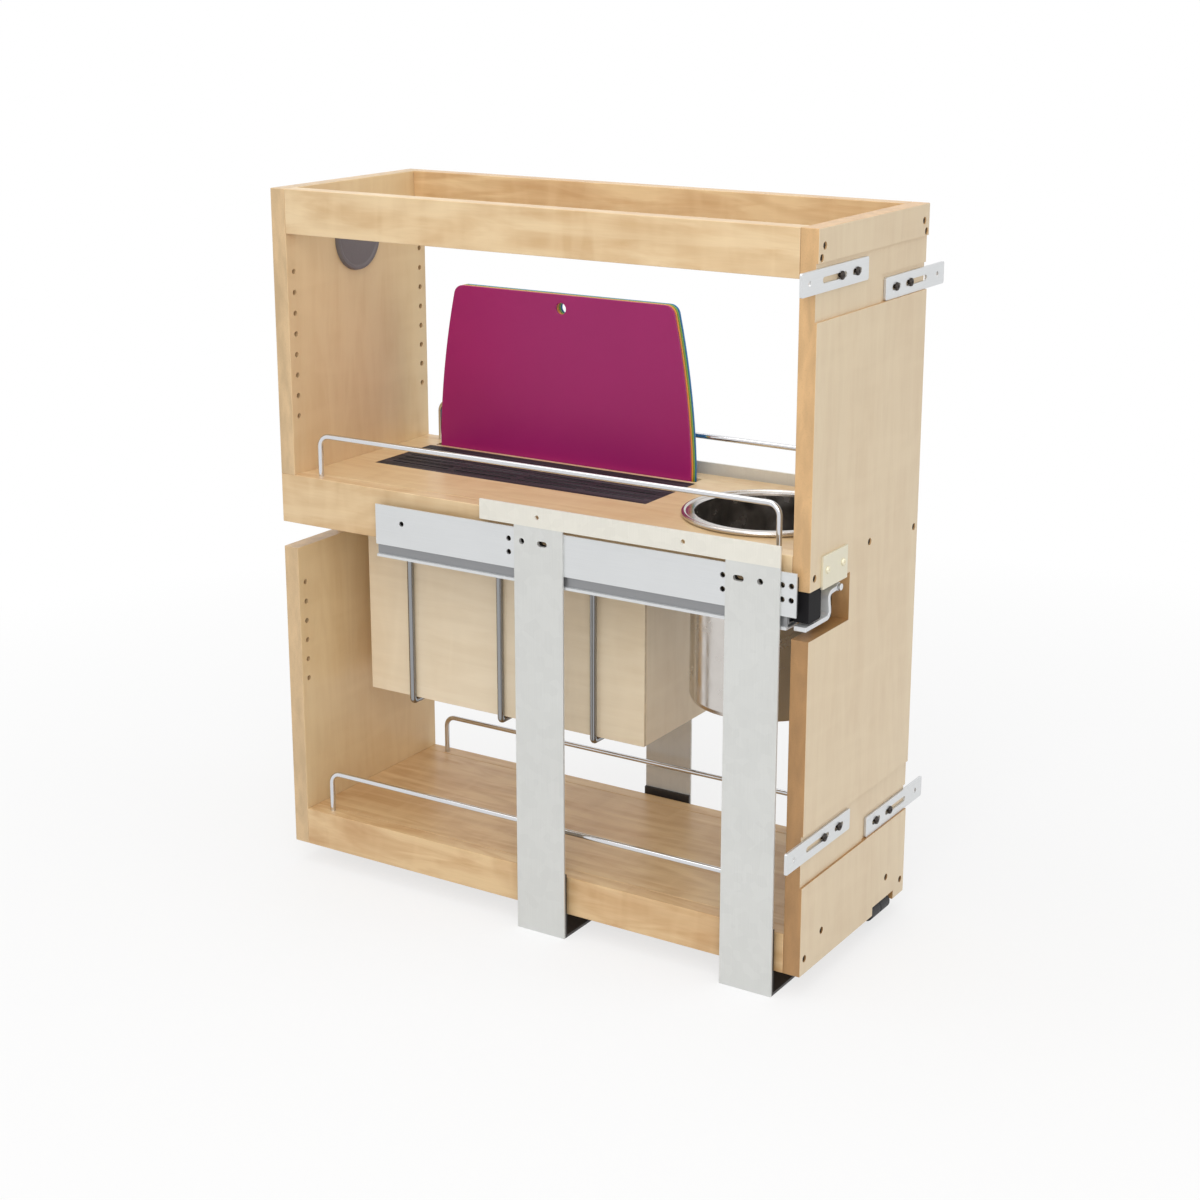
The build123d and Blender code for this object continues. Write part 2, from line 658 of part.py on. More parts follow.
def knife_insert():
    """A flush plate with rows of slits and a skirt below it."""
    top = SHELF_TOP
    foot = top - INSERT_THICK
    lip = INSERT_LIP
    wall = INSERT_SKIRT_WALL
    plate = brick(INSERT_LEFT, INSERT_RIGHT, INSERT_FRONT, INSERT_REAR, foot, top)
    plate = fillet(plate.edges().filter_by(Axis.Z), INSERT_CORNER)
    skirt = brick(
        INSERT_LEFT + lip, INSERT_RIGHT - lip, INSERT_FRONT + lip, INSERT_REAR - lip,
        foot - INSERT_SKIRT, foot,
    )
    hollow = brick(
        INSERT_LEFT + lip + wall, INSERT_RIGHT - lip - wall,
        INSERT_FRONT + lip + wall, INSERT_REAR - lip - wall,
        foot - INSERT_SKIRT - OVERCUT, foot,
    )
    width = INSERT_WIDTH - 2 * SLIT_EDGE
    slitted = INSERT_REAR - INSERT_FRONT - 2 * SLIT_EDGE
    length = (slitted - (SLIT_ROWS - 1) * SLIT_BRIDGE) / SLIT_ROWS
    slits = []
    for column in range(SLIT_COLUMNS):
        x = INSERT_LEFT + SLIT_EDGE + width * (column + 0.5) / SLIT_COLUMNS
        for row in range(SLIT_ROWS):
            start = INSERT_FRONT + SLIT_EDGE + row * (length + SLIT_BRIDGE)
            slits.append(brick(
                x - SLIT_WIDTH / 2, x + SLIT_WIDTH / 2,
                start, start + length,
                foot - OVERCUT, top + OVERCUT,
            ))
    return plate + (skirt - hollow) - slits


# Loose contents

def cutting_board(index):
    """A thin board with straight lower sides, curved shoulders and a hanging eye."""
    foot = BOX_FLOOR + CONTACT_GAP
    top = SHELF_TOP + BOARD_REACH
    middle = (BOARD_FRONT + BOARD_REAR) / 2 - ORIGIN_DEPTH
    half = (BOARD_REAR - BOARD_FRONT) / 2
    top_half = half - BOARD_TAPER
    shoulder = top - BOARD_SHOULDER
    bulge = BOARD_TAPER * BOARD_BULGE_SHARE
    mid_height = (shoulder + top) / 2
    right_side = ThreePointArc(
        (middle + half, shoulder), (middle + half - bulge, mid_height), (middle + top_half, top)
    )
    left_side = ThreePointArc(
        (middle - top_half, top), (middle - half + bulge, mid_height), (middle - half, shoulder)
    )
    outline = Curve() + [
        Line((middle - half, foot), (middle + half, foot)),
        Line((middle + half, foot), (middle + half, shoulder)),
        right_side,
        Line((middle + top_half, top), (middle - top_half, top)),
        left_side,
        Line((middle - half, shoulder), (middle - half, foot)),
    ]
    shape = make_face(outline)
    shape = fillet(shape.vertices().group_by(Axis.Y)[-1], BOARD_CORNER)
    shape = fillet(shape.vertices().group_by(Axis.Y)[0], BOARD_FOOT_CORNER)
    eye = Pos(middle, top - BOARD_EYE_DROP) * Circle(BOARD_EYE_RADIUS)
    start = SLOT_LEFT + SLOT_SIDE_PLAY + index * BOARD_PITCH
    return Pos(start, 0, 0) * extrude(Plane.YZ * (shape - eye), amount=BOARD_THICK)


def utensil_bin():
    """A round steel canister that hangs by its rolled rim in the deck."""
    foot = BIN_FOOT
    bead = SHELF_TOP + CONTACT_GAP + BIN_BEAD_RADIUS
    bead_x = BIN_RADIUS + BIN_RIM_WIDTH - BIN_BEAD_RADIUS
    wall = BIN_WALL
    top = bead + wall
    outer = disc_z(0, BIN_RADIUS, foot, top)
    outer = fillet(outer.edges().group_by(Axis.Z)[0], BIN_CORNER)
    inner = disc_z(0, BIN_RADIUS - wall, foot + wall, top + OVERCUT)
    inner = fillet(inner.edges().group_by(Axis.Z)[0], BIN_CORNER - wall)
    flange = disc_z(BIN_RADIUS - wall, bead_x, bead, top)
    rim = Pos(0, 0, bead) * Torus(bead_x, BIN_BEAD_RADIUS)
    return Pos(0, BIN_DEPTH - ORIGIN_DEPTH, 0) * (outer - inner + flange + rim)


def disc_z(inner, outer, height0, height1):
    """A disc or ring about the Z axis."""
    ring = Cylinder(outer, height1 - height0)
    if inner > 0:
        ring -= Cylinder(inner, height1 - height0 + OVERCUT)
    return Pos(0, 0, (height0 + height1) / 2) * ring


def retaining_rod(top):
    """A bent chrome rod whose two legs stand in a board."""
    foot = top - ROD_SOCKET
    crown = top + ROD_RISE
    points = [
        (-ROD_X, ROD_FRONT, foot),
        (-ROD_X, ROD_FRONT, crown),
        (-ROD_X, ROD_REAR, crown),
        (-ROD_X, ROD_REAR, foot),
    ]
    return bent_rod(points, ROD_BEND, ROD_RADIUS)


# Runners, drawn for the left side

def inward(u0, u1, depth0, depth1, height0, height1):
    """A block given by its distances inward from the runner's outer face."""
    x = -SLIDE_OUTER_HALF
    return brick(x + u0, x + u1, depth0, depth1, height0, height1)


def flange_hole_depths():
    """Depths of the paired holes in the runner's flange."""
    first = FLANGE_FRONT + FRONT_HOLE_INSET
    return (
        first,
        FRONT_STRAP + STRAP_WIDTH + SECOND_HOLE_GAP + FLANGE_HOLE_RADIUS,
        REAR_STRAP + STRAP_WIDTH + THIRD_HOLE_GAP + FLANGE_HOLE_RADIUS,
        first + FRONT_HOLE_PITCH,
    )


def flange_holes(radius):
    """Cutters for the wall screws' holes through the flange and the housing behind it."""
    x0 = -SLIDE_OUTER_HALF - OVERCUT
    x1 = -SLIDE_OUTER_HALF + FLANGE_THICK + HOUSING_THICK + OVERCUT
    holes = []
    for depth in flange_hole_depths():
        for height in (FLANGE_HOLE_TOP, FLANGE_HOLE_TOP - FLANGE_HOLE_STEP):
            holes.append(rod_x(x0, x1, depth, height, radius))
    rear_hole = TRACK_REAR - REAR_HOLE_SETBACK
    holes.append(rod_x(x0, x1, rear_hole, FLANGE_TOP - REAR_HOLE_DROP, radius))
    return holes


def cabinet_member():
    """The fixed runner member: a tall flange, a groove and a track that reaches under the shelf."""
    thick = FLANGE_THICK
    web0, web1 = GROOVE_DEPTH, GROOVE_DEPTH + thick
    lip = SLIDE_FOOT + LIP_HEIGHT
    front, rear = TRACK_FRONT, TRACK_REAR
    member = inward(0, thick, FLANGE_FRONT, rear, FLANGE_FOOT, FLANGE_TOP)
    member += inward(0, web1, front, rear, FLANGE_FOOT, FLANGE_FOOT + thick)
    member += inward(web0, web1, front, rear, SLIDE_FOOT, FLANGE_FOOT)
    member += inward(LIP_INSET, web1, front, rear, SLIDE_FOOT, lip)
    member += inward(web1, TRACK_WIDTH, front, rear, SLIDE_FOOT, SLIDE_FOOT + thick)
    upstand_top = SLIDE_FOOT + thick + TRACK_UPSTAND
    member += inward(TRACK_WIDTH - thick, TRACK_WIDTH, front, rear, SLIDE_FOOT, upstand_top)
    rivet_bores = [rivet_bore(*place) for place in strap_rivet_places()]
    return member - flange_holes(FLANGE_HOLE_RADIUS) - strap_holes() - rivet_bores


def soft_close_housing():
    """A plastic housing behind the flange, seated on its ledge, with room for screws and rivets."""
    inner = FLANGE_THICK + HOUSING_THICK
    housing = inward(
        FLANGE_THICK, inner,
        FLANGE_FRONT + HOUSING_END_GAP, TRACK_REAR - HOUSING_END_GAP,
        FLANGE_FOOT + FLANGE_THICK, FLANGE_TOP - HOUSING_TOP_GAP,
    )
    x0, x1 = -SLIDE_OUTER_HALF, -SLIDE_OUTER_HALF + inner + OVERCUT
    rivet_room = RIVET_HEAD_RADIUS + CONTACT_GAP
    wells = [rod_x(x0, x1, depth, height, rivet_room) for depth, height in strap_rivet_places()]
    return housing - flange_holes(FLANGE_HOLE_RADIUS + HOUSING_SCREW_PLAY) - strap_holes() - wells


def middle_member():
    """The floating channel between the fixed member and the shelf's member."""
    low, high = MIDDLE_INNER, MIDDLE_OUTER
    thick = MEMBER_THICK
    top = SHELF_FOOT - thick - MIDDLE_TOP_GAP
    front, rear = TRACK_FRONT, TRACK_REAR
    channel = inward(low, high, front, rear, MIDDLE_FOOT, MIDDLE_FOOT + thick)
    channel += inward(low, low + thick, front, rear, MIDDLE_FOOT, top)
    channel += inward(high - thick, high, front, rear, MIDDLE_FOOT, top)
    return channel


def drawer_member():
    """The member screwed under the shelf board, a hat section that hangs into the channel."""
    thick = MEMBER_THICK
    low = MIDDLE_INNER + thick + DRAWER_SIDE_PLAY
    high = MIDDLE_OUTER - thick - DRAWER_SIDE_PLAY
    board_outer = RUNNER_SIDE_GAP
    board_inner = RUNNER_SIDE_GAP + SIDE_THICK
    top = SHELF_FOOT
    front, rear = TRACK_FRONT, TRACK_REAR
    hat = inward(low, high, front, rear, DRAWER_FOOT, DRAWER_FOOT + thick)
    hat += inward(low, low + thick, front, rear, DRAWER_FOOT, top)
    hat += inward(high - thick, high, front, rear, DRAWER_FOOT, top)
    hat += inward(min(board_outer, low), low + thick, front, rear, top - thick, top)
    hat += inward(high - thick, board_inner, front, rear, top - thick, top)
    holes = [
        rod_z(top - thick - OVERCUT, top + OVERCUT, x, depth, CLAMP_RADIUS + SCREW_PLAY)
        for x, depth in runner_screw_places()
    ]
    return hat - holes


def runner_screw_places():
    """x and depth of each screw that holds the drawer member under the shelf board."""
    x = -(INNER_HALF + (SLIDE_OUTER_HALF - MIDDLE_OUTER)) / 2
    return [(x, TRACK_FRONT + TRACK_LENGTH * share) for share in RUNNER_SCREW_SHARES]


def runner_screws():
    """Pan-head screws that point up into the shelf board."""
    seat = SHELF_FOOT - MEMBER_THICK
    screws = []
    for x, depth in runner_screw_places():
        head = rod_z(seat - CLAMP_HEAD_THICK, seat, x, depth, RUNNER_HEAD_RADIUS)
        screws.append(head + rod_z(seat, seat + CLAMP_LENGTH, x, depth, CLAMP_RADIUS))
    return Part() + screws


def roller_cage(low, high, foot):
    """A plastic strip with rollers that stand proud above and below it."""
    middle = (TRACK_FRONT + TRACK_REAR) / 2
    start, stop = middle - CAGE_LENGTH / 2, middle + CAGE_LENGTH / 2
    centre = foot + CAGE_HEIGHT / 2
    web = CAGE_WEB_THICK / 2
    strip = inward(low, high, start, stop, centre - web, centre + web)
    count = max(2, round(CAGE_LENGTH / CAGE_ROLLER_PITCH))
    x0 = -SLIDE_OUTER_HALF + low + CAGE_ROLLER_INSET
    x1 = -SLIDE_OUTER_HALF + high - CAGE_ROLLER_INSET
    rollers = [
        rod_x(x0, x1, start + (index + 0.5) * CAGE_LENGTH / count, centre, CAGE_HEIGHT / 2)
        for index in range(count)
    ]
    return strip + rollers


def outer_cage():
    return roller_cage(MIDDLE_INNER + CAGE_SIDE_PLAY, MIDDLE_OUTER - CAGE_SIDE_PLAY, OUTER_CAGE_FOOT)


def inner_cage():
    low = MIDDLE_INNER + MEMBER_THICK + CAGE_SIDE_PLAY
    high = MIDDLE_OUTER - MEMBER_THICK - CAGE_SIDE_PLAY
    return roller_cage(low, high, INNER_CAGE_FOOT)


# Leg frames and floor plates, drawn for the left side

def strap_holes():
    """Cutters for the round hole and the slot at the head of each strap."""
    x = -SLIDE_OUTER_HALF
    height = FLANGE_HOLE_TOP
    reach = STRAP_THICK + FLANGE_THICK + HOUSING_THICK
    cuts = []
    for front, shares in ((FRONT_STRAP, FRONT_STRAP_SHARES), (REAR_STRAP, REAR_STRAP_SHARES)):
        slot_depth, hole_depth = (front + share * STRAP_WIDTH for share in shares)
        cuts.append(slot_x(x, slot_depth, height, STRAP_SLOT_LENGTH, STRAP_SLOT_WIDTH, 2 * reach))
        cuts.append(rod_x(x - reach, x + reach, hole_depth, height, STRAP_HOLE_RADIUS))
    return cuts


def strap_rivet_places():
    """Depth and height of each rivet that joins a strap to the runner's flange."""
    height = (FLANGE_FOOT + FLANGE_HOLE_TOP) / 2 - 2 * RIVET_RADIUS
    return [
        (front + offset, height)
        for front in (FRONT_STRAP, REAR_STRAP)
        for offset in (RIVET_INSET, STRAP_WIDTH - RIVET_INSET)
    ]


def plate_rivet_places():
    """Depth and height of each rivet that joins a strap to a floor plate."""
    return [
        (front + offset, PLATE_UPTURN - RIVET_INSET)
        for front in (FRONT_STRAP, REAR_STRAP)
        for offset in (RIVET_INSET, STRAP_WIDTH - RIVET_INSET)
    ]


def rivet_head(depth, height, play, overcut):
    """The countersunk head of a rivet, or with play and overcut its seat in the strap."""
    slope = (RIVET_HEAD_RADIUS - RIVET_RADIUS) / RIVET_HEAD_THICK
    outer = -STRAP_OUTER - overcut
    long = RIVET_HEAD_THICK + overcut
    wide = RIVET_HEAD_RADIUS + slope * overcut + play
    place = Pos(outer + long / 2, depth - ORIGIN_DEPTH, height)
    return place * Rot(0, 90, 0) * Cone(wide, RIVET_RADIUS + play, long)


def rivet(depth, height, inner_sheet):
    """A rivet through the strap and the sheet behind it, flush with the strap."""
    inner = -SLIDE_OUTER_HALF + inner_sheet
    shank = rod_x(-STRAP_OUTER, inner, depth, height, RIVET_RADIUS)
    tail = rod_x(inner, inner + RIVET_HEAD_THICK, depth, height, RIVET_HEAD_RADIUS)
    return rivet_head(depth, height, 0, 0) + shank + tail


def rivet_bore(depth, height):
    """The cutter for one rivet's shank."""
    reach = STRAP_THICK + PLATE_THICK + FLANGE_THICK
    x = -SLIDE_OUTER_HALF
    return rod_x(x - reach, x + reach, depth, height, RIVET_RADIUS + RIVET_PLAY)


def leg_frame():
    """Two legs joined by a strip along the top, cut from one sheet."""
    x0, x1 = -STRAP_OUTER, -SLIDE_OUTER_HALF
    strip_foot = STRIP_TOP - STRIP_HEIGHT
    strip_rear = REAR_STRAP + STRAP_WIDTH + STRIP_TAIL
    frame = brick(x0, x1, FRONT_STRAP, strip_rear, strip_foot, STRIP_TOP)
    for front in (FRONT_STRAP, REAR_STRAP):
        frame += brick(x0, x1, front, front + STRAP_WIDTH, 0, STRIP_TOP)
    middle = strip_foot + STRIP_HEIGHT / 2
    for front, offset in zip((REAR_STRAP, FRONT_STRAP + STRAP_WIDTH), STRIP_HOLE_OFFSETS):
        frame -= rod_x(x0 - OVERCUT, x1 + OVERCUT, front + offset, middle, STRIP_HOLE_RADIUS)
    rivet_places = strap_rivet_places() + plate_rivet_places()
    bores = [rivet_bore(*place) for place in rivet_places]
    bores += [rivet_head(*place, RIVET_PLAY, OVERCUT) for place in rivet_places]
    return frame - strap_holes() - bores


def floor_plate(front):
    """A cross plate on the cabinet floor, with upturned ends against the straps."""
    half = SLIDE_OUTER_HALF
    thick = PLATE_THICK
    rear = front + STRAP_WIDTH
    plate = brick(-half, half, front, rear, 0, thick)
    for side in (-1, 1):
        x0, x1 = sorted((side * half, side * (half - thick)))
        plate += brick(x0, x1, front, rear, 0, PLATE_UPTURN)
    cuts = []
    for side in (-1, 1):
        x = side * FLOOR_SCREW_SPAN / 2
        middle = front + STRAP_WIDTH / 2
        cuts.append(rod_z(-OVERCUT, thick + OVERCUT, x, middle, FLOOR_HOLE_RADIUS))
    for place in plate_rivet_places():
        bore = rivet_bore(*place)
        cuts += [bore, mirrored(bore)]
    return plate - cuts


def rivets():
    """All the rivets of the leg frames."""
    left = [rivet(*place, FLANGE_THICK) for place in strap_rivet_places()]
    left += [rivet(*place, PLATE_THICK) for place in plate_rivet_places()]
    return Part() + left + [mirrored(piece) for piece in left]


# Door brackets

def door_bracket(side, overhang, foot):
    """A flat slotted plate with a door screw's hole, which can be shifted sideways."""
    outer_end = side * (HALF + overhang)
    inner_end = bracket_inner_end(side, overhang)
    rear = bracket_floor(side) - BRACKET_PLAY
    front = rear - BRACKET_THICK
    top = foot + BRACKET_HEIGHT
    x0, x1 = sorted((outer_end, inner_end))
    plate = brick(x0, x1, front, rear, foot, top)
    plate = fillet(plate.edges().filter_by(Axis.Y), BRACKET_THICK)
    middle = foot + BRACKET_HEIGHT / 2
    depth = (front + rear) / 2
    hole_x = outer_end - side * BRACKET_HOLE_INSET
    cuts = [rod_y(front - OVERCUT, rear + OVERCUT, hole_x, middle, BRACKET_HOLE_RADIUS)]
    for offset, length in (
        (SHORT_SLOT_OFFSET, SHORT_SLOT_LENGTH),
        (LONG_SLOT_OFFSET, LONG_SLOT_LENGTH),
    ):
        x = inner_end + side * offset
        cuts.append(slot_y(x, depth, middle, length, BRACKET_SLOT_WIDTH, 2 * BRACKET_THICK))
    return plate - cuts


def clamp_screws():
    """Screws that hold the door brackets through their slots."""
    screws = []
    for x, height, floor in clamp_places():
        seat = floor - 2 * BRACKET_PLAY - BRACKET_THICK
        head = rod_y(seat - CLAMP_HEAD_THICK, seat, x, height, CLAMP_HEAD_RADIUS)
        screws.append(head + rod_y(seat, floor + CLAMP_LENGTH - SCREW_PLAY, x, height, CLAMP_RADIUS))
    return Part() + screws


# Latch

def lever_pin_place():
    """x and height of the lever's pin."""
    return LATCH_BLOCK_RIGHT + LEVER_PIN_GAP, LATCH_NOTCH_TOP - LEVER_PIN_DROP


def latch_block():
    """A plastic stop block that hangs from the top of the notch."""
    front = LATCH_BLOCK_FRONT
    top = LATCH_NOTCH_TOP
    block = brick(
        LATCH_BLOCK_LEFT, LATCH_BLOCK_RIGHT, front, front + LATCH_BLOCK_DEPTH, top - LATCH_BLOCK_HEIGHT, top
    )
    return fillet(block.edges().filter_by(Axis.Y).group_by(Axis.Z)[0], LATCH_BLOCK_CORNER)


def latch_lever():
    """A bent steel lever that swings down from its pin, round the stop block."""
    pin_x, pin_height = lever_pin_place()
    shoulder_x = pin_x - LEVER_ARM_REACH
    tail_x = -HALF - LATCH_BLOCK_INSET
    top = LATCH_NOTCH_TOP
    foot = top - LATCH_BLOCK_HEIGHT - LEVER_FOOT_GAP
    points = [
        (pin_x, pin_height),
        (shoulder_x, top - LEVER_SHOULDER_DROP),
        (shoulder_x + LEVER_BULGE, foot),
        (tail_x, foot),
    ]
    spine = FilletPolyline(*points, radius=LEVER_BEND)
    strip = trace(spine, LEVER_THICK)
    eye = Pos(pin_x, pin_height) * Circle(LEVER_EYE_RADIUS)
    bore = Pos(pin_x, pin_height) * Circle(LEVER_PIN_RADIUS + LEVER_PIN_PLAY)
    outline = Plane.XZ * (strip + eye - bore)
    return Pos(0, LEVER_FRONT - ORIGIN_DEPTH, 0) * extrude(outline, amount=-LEVER_DEPTH)


def latch_pin():
    """The lever's pin, with a head in front."""
    x, height = lever_pin_place()
    head_rear = LEVER_FRONT - CONTACT_GAP
    rear = LEVER_FRONT + LEVER_DEPTH + CONTACT_GAP + LATCH_PLATE_THICK
    head = rod_y(head_rear - LATCH_PLATE_THICK, head_rear, x, height, LATCH_PIN_HEAD_RADIUS)
    return head + rod_y(head_rear, rear, x, height, LEVER_PIN_RADIUS)


def latch_plate():
    """A bent plate on the front face, with a shelf under the notch's top and an ear for the pin."""
    x0 = -HALF + LATCH_PLATE_INSET
    x1 = x0 + LATCH_PLATE_WIDTH
    thick = LATCH_PLATE_THICK
    top = LATCH_NOTCH_TOP
    ear_front = LEVER_FRONT + LEVER_DEPTH + CONTACT_GAP
    ear_rear = ear_front + thick
    pin_x, pin_height = lever_pin_place()
    ear_half = LATCH_EAR_WIDTH / 2
    plate = brick(x0, x1, -thick, 0, top - thick, top - thick + LATCH_PLATE_HEIGHT)
    shelf_left = max(x0, LATCH_BLOCK_RIGHT + CONTACT_GAP)
    plate += brick(shelf_left, x1, -thick, ear_rear, top - thick, top)
    ear_foot = pin_height - ear_half
    plate += brick(pin_x - ear_half, pin_x + ear_half, ear_front, ear_rear, ear_foot, top)
    bore = LEVER_PIN_RADIUS + LEVER_PIN_PLAY
    holes = [rod_y(ear_front - OVERCUT, ear_rear + OVERCUT, pin_x, pin_height, bore)]
    for x, height in latch_screw_places():
        holes.append(rod_y(-thick - OVERCUT, 0, x, height, CLAMP_RADIUS + SCREW_PLAY))
    return plate - holes


def latch_screw_places():
    """x and height of each screw in the latch plate."""
    x0 = -HALF + LATCH_PLATE_INSET
    height = LATCH_NOTCH_TOP + (LATCH_PLATE_HEIGHT - LATCH_PLATE_THICK) / 2
    return [(x0 + LATCH_SCREW_INSET, height), (x0 + LATCH_PLATE_WIDTH - LATCH_SCREW_INSET, height)]


def latch_screws():
    """Pan-head screws of the latch plate."""
    seat = -LATCH_PLATE_THICK
    screws = []
    for x, height in latch_screw_places():
        head = rod_y(seat - LATCH_SCREW_HEAD_THICK, seat, x, height, LATCH_SCREW_HEAD_RADIUS)
        screws.append(head + rod_y(seat, CLAMP_LENGTH - SCREW_PLAY, x, height, CLAMP_RADIUS))
    return Part() + screws


# Roller

def roller_place():
    """x, depth and height of the middle of the roller's axle."""
    return HALF - ROLLER_INSET, PANEL_THICK / 2, ROLLER_HEIGHT


def floor_roller():
    x, depth, height = roller_place()
    half = ROLLER_LENGTH / 2
    roller = rod_x(x - half, x + half, depth, height, ROLLER_RADIUS)
    roller = fillet(roller.edges().filter_by(GeomType.CIRCLE), ROLLER_EDGE)
    bore = ROLLER_AXLE_RADIUS + ROLLER_AXLE_PLAY
    return roller - rod_x(x - half - OVERCUT, x + half + OVERCUT, depth, height, bore)


def roller_axle():
    x, depth, height = roller_place()
    reach = ROLLER_LENGTH / 2 + ROLLER_END_PLAY + ROLLER_PLATE_THICK
    return rod_x(x - reach, x + reach, depth, height, ROLLER_AXLE_RADIUS)


def roller_bracket():
    """A bent plate in the notch, with a round ear at each end of the roller."""
    x, depth, height = roller_place()
    inner = ROLLER_LENGTH / 2 + ROLLER_END_PLAY
    outer = inner + ROLLER_PLATE_THICK
    foot = ROLLER_PLATE_FOOT
    top = foot + ROLLER_PLATE_THICK
    half = ROLLER_EAR_RADIUS
    bracket = brick(x - outer, x + outer, depth - half, depth + half, foot, top)
    for side in (-1, 1):
        x0, x1 = sorted((x + side * inner, x + side * outer))
        bracket += brick(x0, x1, depth - half, depth + half, height, top)
        bracket += rod_x(x0, x1, depth, height, ROLLER_EAR_RADIUS)
    bore = ROLLER_AXLE_RADIUS + ROLLER_AXLE_PLAY
    return bracket - rod_x(x - outer - OVERCUT, x + outer + OVERCUT, depth, height, bore)


def all_pieces():
    """Every piece of the organizer, by name."""
    front_screws, back_screws = screw_sets()
    pieces = {
        "front_panel": front_panel(),
        "back_panel": back_panel(),
        "base_deck": base_deck(),
        "shelf_deck": shelf_deck(),
        "round_cap": round_cap(),
        "front_panel_screws": front_screws,
        "back_panel_screws": back_screws,
        "knife_insert": knife_insert(),
        "box_cradles": box_cradles(),
        "utensil_bin": utensil_bin(),
        "front_floor_plate": floor_plate(FRONT_STRAP),
        "rear_floor_plate": floor_plate(REAR_STRAP),
        "frame_rivets": rivets(),
        "bracket_clamp_screws": clamp_screws(),
        "latch_block": latch_block(),
        "latch_lever": latch_lever(),
        "latch_pin": latch_pin(),
        "latch_plate": latch_plate(),
        "latch_screws": latch_screws(),
        "floor_roller": floor_roller(),
        "roller_axle": roller_axle(),
        "roller_bracket": roller_bracket(),
    }
    pairs = {
        "top_rail": top_rail(),
        "shelf_board": shelf_board(),
        "base_board": base_board(),
        "shelf_rod": retaining_rod(SHELF_TOP),
        "base_rod": retaining_rod(BASE_TOP),
        "leg_frame": leg_frame(),
        "cabinet_member": cabinet_member(),
        "middle_member": middle_member(),
        "drawer_member": drawer_member(),
        "outer_cage": outer_cage(),
        "inner_cage": inner_cage(),
    }
    for name, piece in pairs.items():
        pieces["left_" + name] = piece
        pieces["right_" + name] = mirrored(piece)
    for name, piece in (("runner_screws", runner_screws()), ("soft_close_housings", soft_close_housing())):
        pieces[name] = piece + mirrored(piece)
    pieces.update(box_panels())
    for index in range(BOARD_COUNT):
        pieces["cutting_board_%d" % (index + 1)] = cutting_board(index)
    for name, side, overhang, foot in bracket_places():
        pieces[name] = door_bracket(side, overhang, foot)
    return pieces


def main():
    os.makedirs("parts", exist_ok=True)
    for name, piece in all_pieces().items():
        export_step(piece, "parts/%s.step" % name)


if __name__ == "__main__":
    main()
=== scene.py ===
import json
import math

import bmesh
import bpy
from bpy.props import FloatProperty, FloatVectorProperty, IntProperty, PointerProperty
from bpy.types import Operator, Panel, PropertyGroup
from mathutils import Matrix, Vector

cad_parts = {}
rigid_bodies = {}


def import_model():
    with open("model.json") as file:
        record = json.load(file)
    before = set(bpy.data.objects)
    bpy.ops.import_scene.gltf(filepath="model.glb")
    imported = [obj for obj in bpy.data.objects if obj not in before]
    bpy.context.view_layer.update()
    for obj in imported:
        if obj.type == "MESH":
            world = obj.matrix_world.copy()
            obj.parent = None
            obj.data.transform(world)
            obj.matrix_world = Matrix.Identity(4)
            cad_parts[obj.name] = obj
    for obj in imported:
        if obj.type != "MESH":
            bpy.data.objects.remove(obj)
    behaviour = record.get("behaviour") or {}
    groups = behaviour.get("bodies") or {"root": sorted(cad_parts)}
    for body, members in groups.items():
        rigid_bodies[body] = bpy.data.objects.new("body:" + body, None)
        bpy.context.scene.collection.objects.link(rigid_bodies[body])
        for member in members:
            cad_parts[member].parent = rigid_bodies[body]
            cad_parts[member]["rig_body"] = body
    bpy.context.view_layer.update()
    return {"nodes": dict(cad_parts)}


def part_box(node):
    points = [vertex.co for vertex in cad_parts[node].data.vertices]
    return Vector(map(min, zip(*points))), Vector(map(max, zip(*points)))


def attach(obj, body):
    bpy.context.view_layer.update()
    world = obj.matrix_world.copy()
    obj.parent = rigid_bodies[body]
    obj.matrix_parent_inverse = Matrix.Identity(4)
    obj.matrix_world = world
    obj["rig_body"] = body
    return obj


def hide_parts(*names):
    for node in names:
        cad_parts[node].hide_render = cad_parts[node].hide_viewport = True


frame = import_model()

bl_info = {
    "name": "Pull-out Cabinet Organizer",
    "version": (1, 0, 0),
    "blender": (4, 5, 0),
    "location": "View3D > Sidebar > Organizer",
    "description": "Finishes a maple pull-out organizer on telescopic runners",
    "category": "Object",
}

MM = 0.001
X, Y, Z = 0, 1, 2
SIDES = ("left", "right")
FRONT = Vector((0, -1, 0))
BACK = Vector((0, 1, 0))
WELD = 0.002 * MM
FLAT_ANGLE = math.radians(0.5)
SHARP_ANGLE = math.radians(38)
GROOVE_FOOT = 2.6 * MM
GROOVE_TOP = 11.9 * MM
STRIP_HEIGHT = 18.0 * MM
RIVET_EDGE = 0.1 * MM
ROD_BEND = 10.0 * MM
HOOK_DROP = 15.0 * MM
PAN_HEAD = 1.6 * MM
LATCH_HEAD = 1.5 * MM


def linear(red, green, blue):
    """A colour of 0 to 255 in the shader's own scale."""
    return tuple(
        part / 255 / 12.92 if part / 255 <= 0.04045 else ((part / 255 + 0.055) / 1.055) ** 2.4
        for part in (red, green, blue)
    )


def tone(name, description, *colour):
    """A colour property."""
    return FloatVectorProperty(
        name=name, description=description, default=linear(*colour),
        subtype="COLOR", min=0.0, max=1.0,
    )


def length(name, description, default):
    """A length property, given in millimetres."""
    return FloatProperty(name=name, description=description, default=default * MM, unit="LENGTH", min=0.0)


def share(name, description, default):
    """A property between 0 and 1."""
    return FloatProperty(
        name=name, description=description, default=default, subtype="FACTOR", min=0.0, max=1.0,
    )


def power(name, description, default):
    """The power of a lamp, in watts."""
    return FloatProperty(name=name, description=description, default=default, unit="POWER", min=0.0)


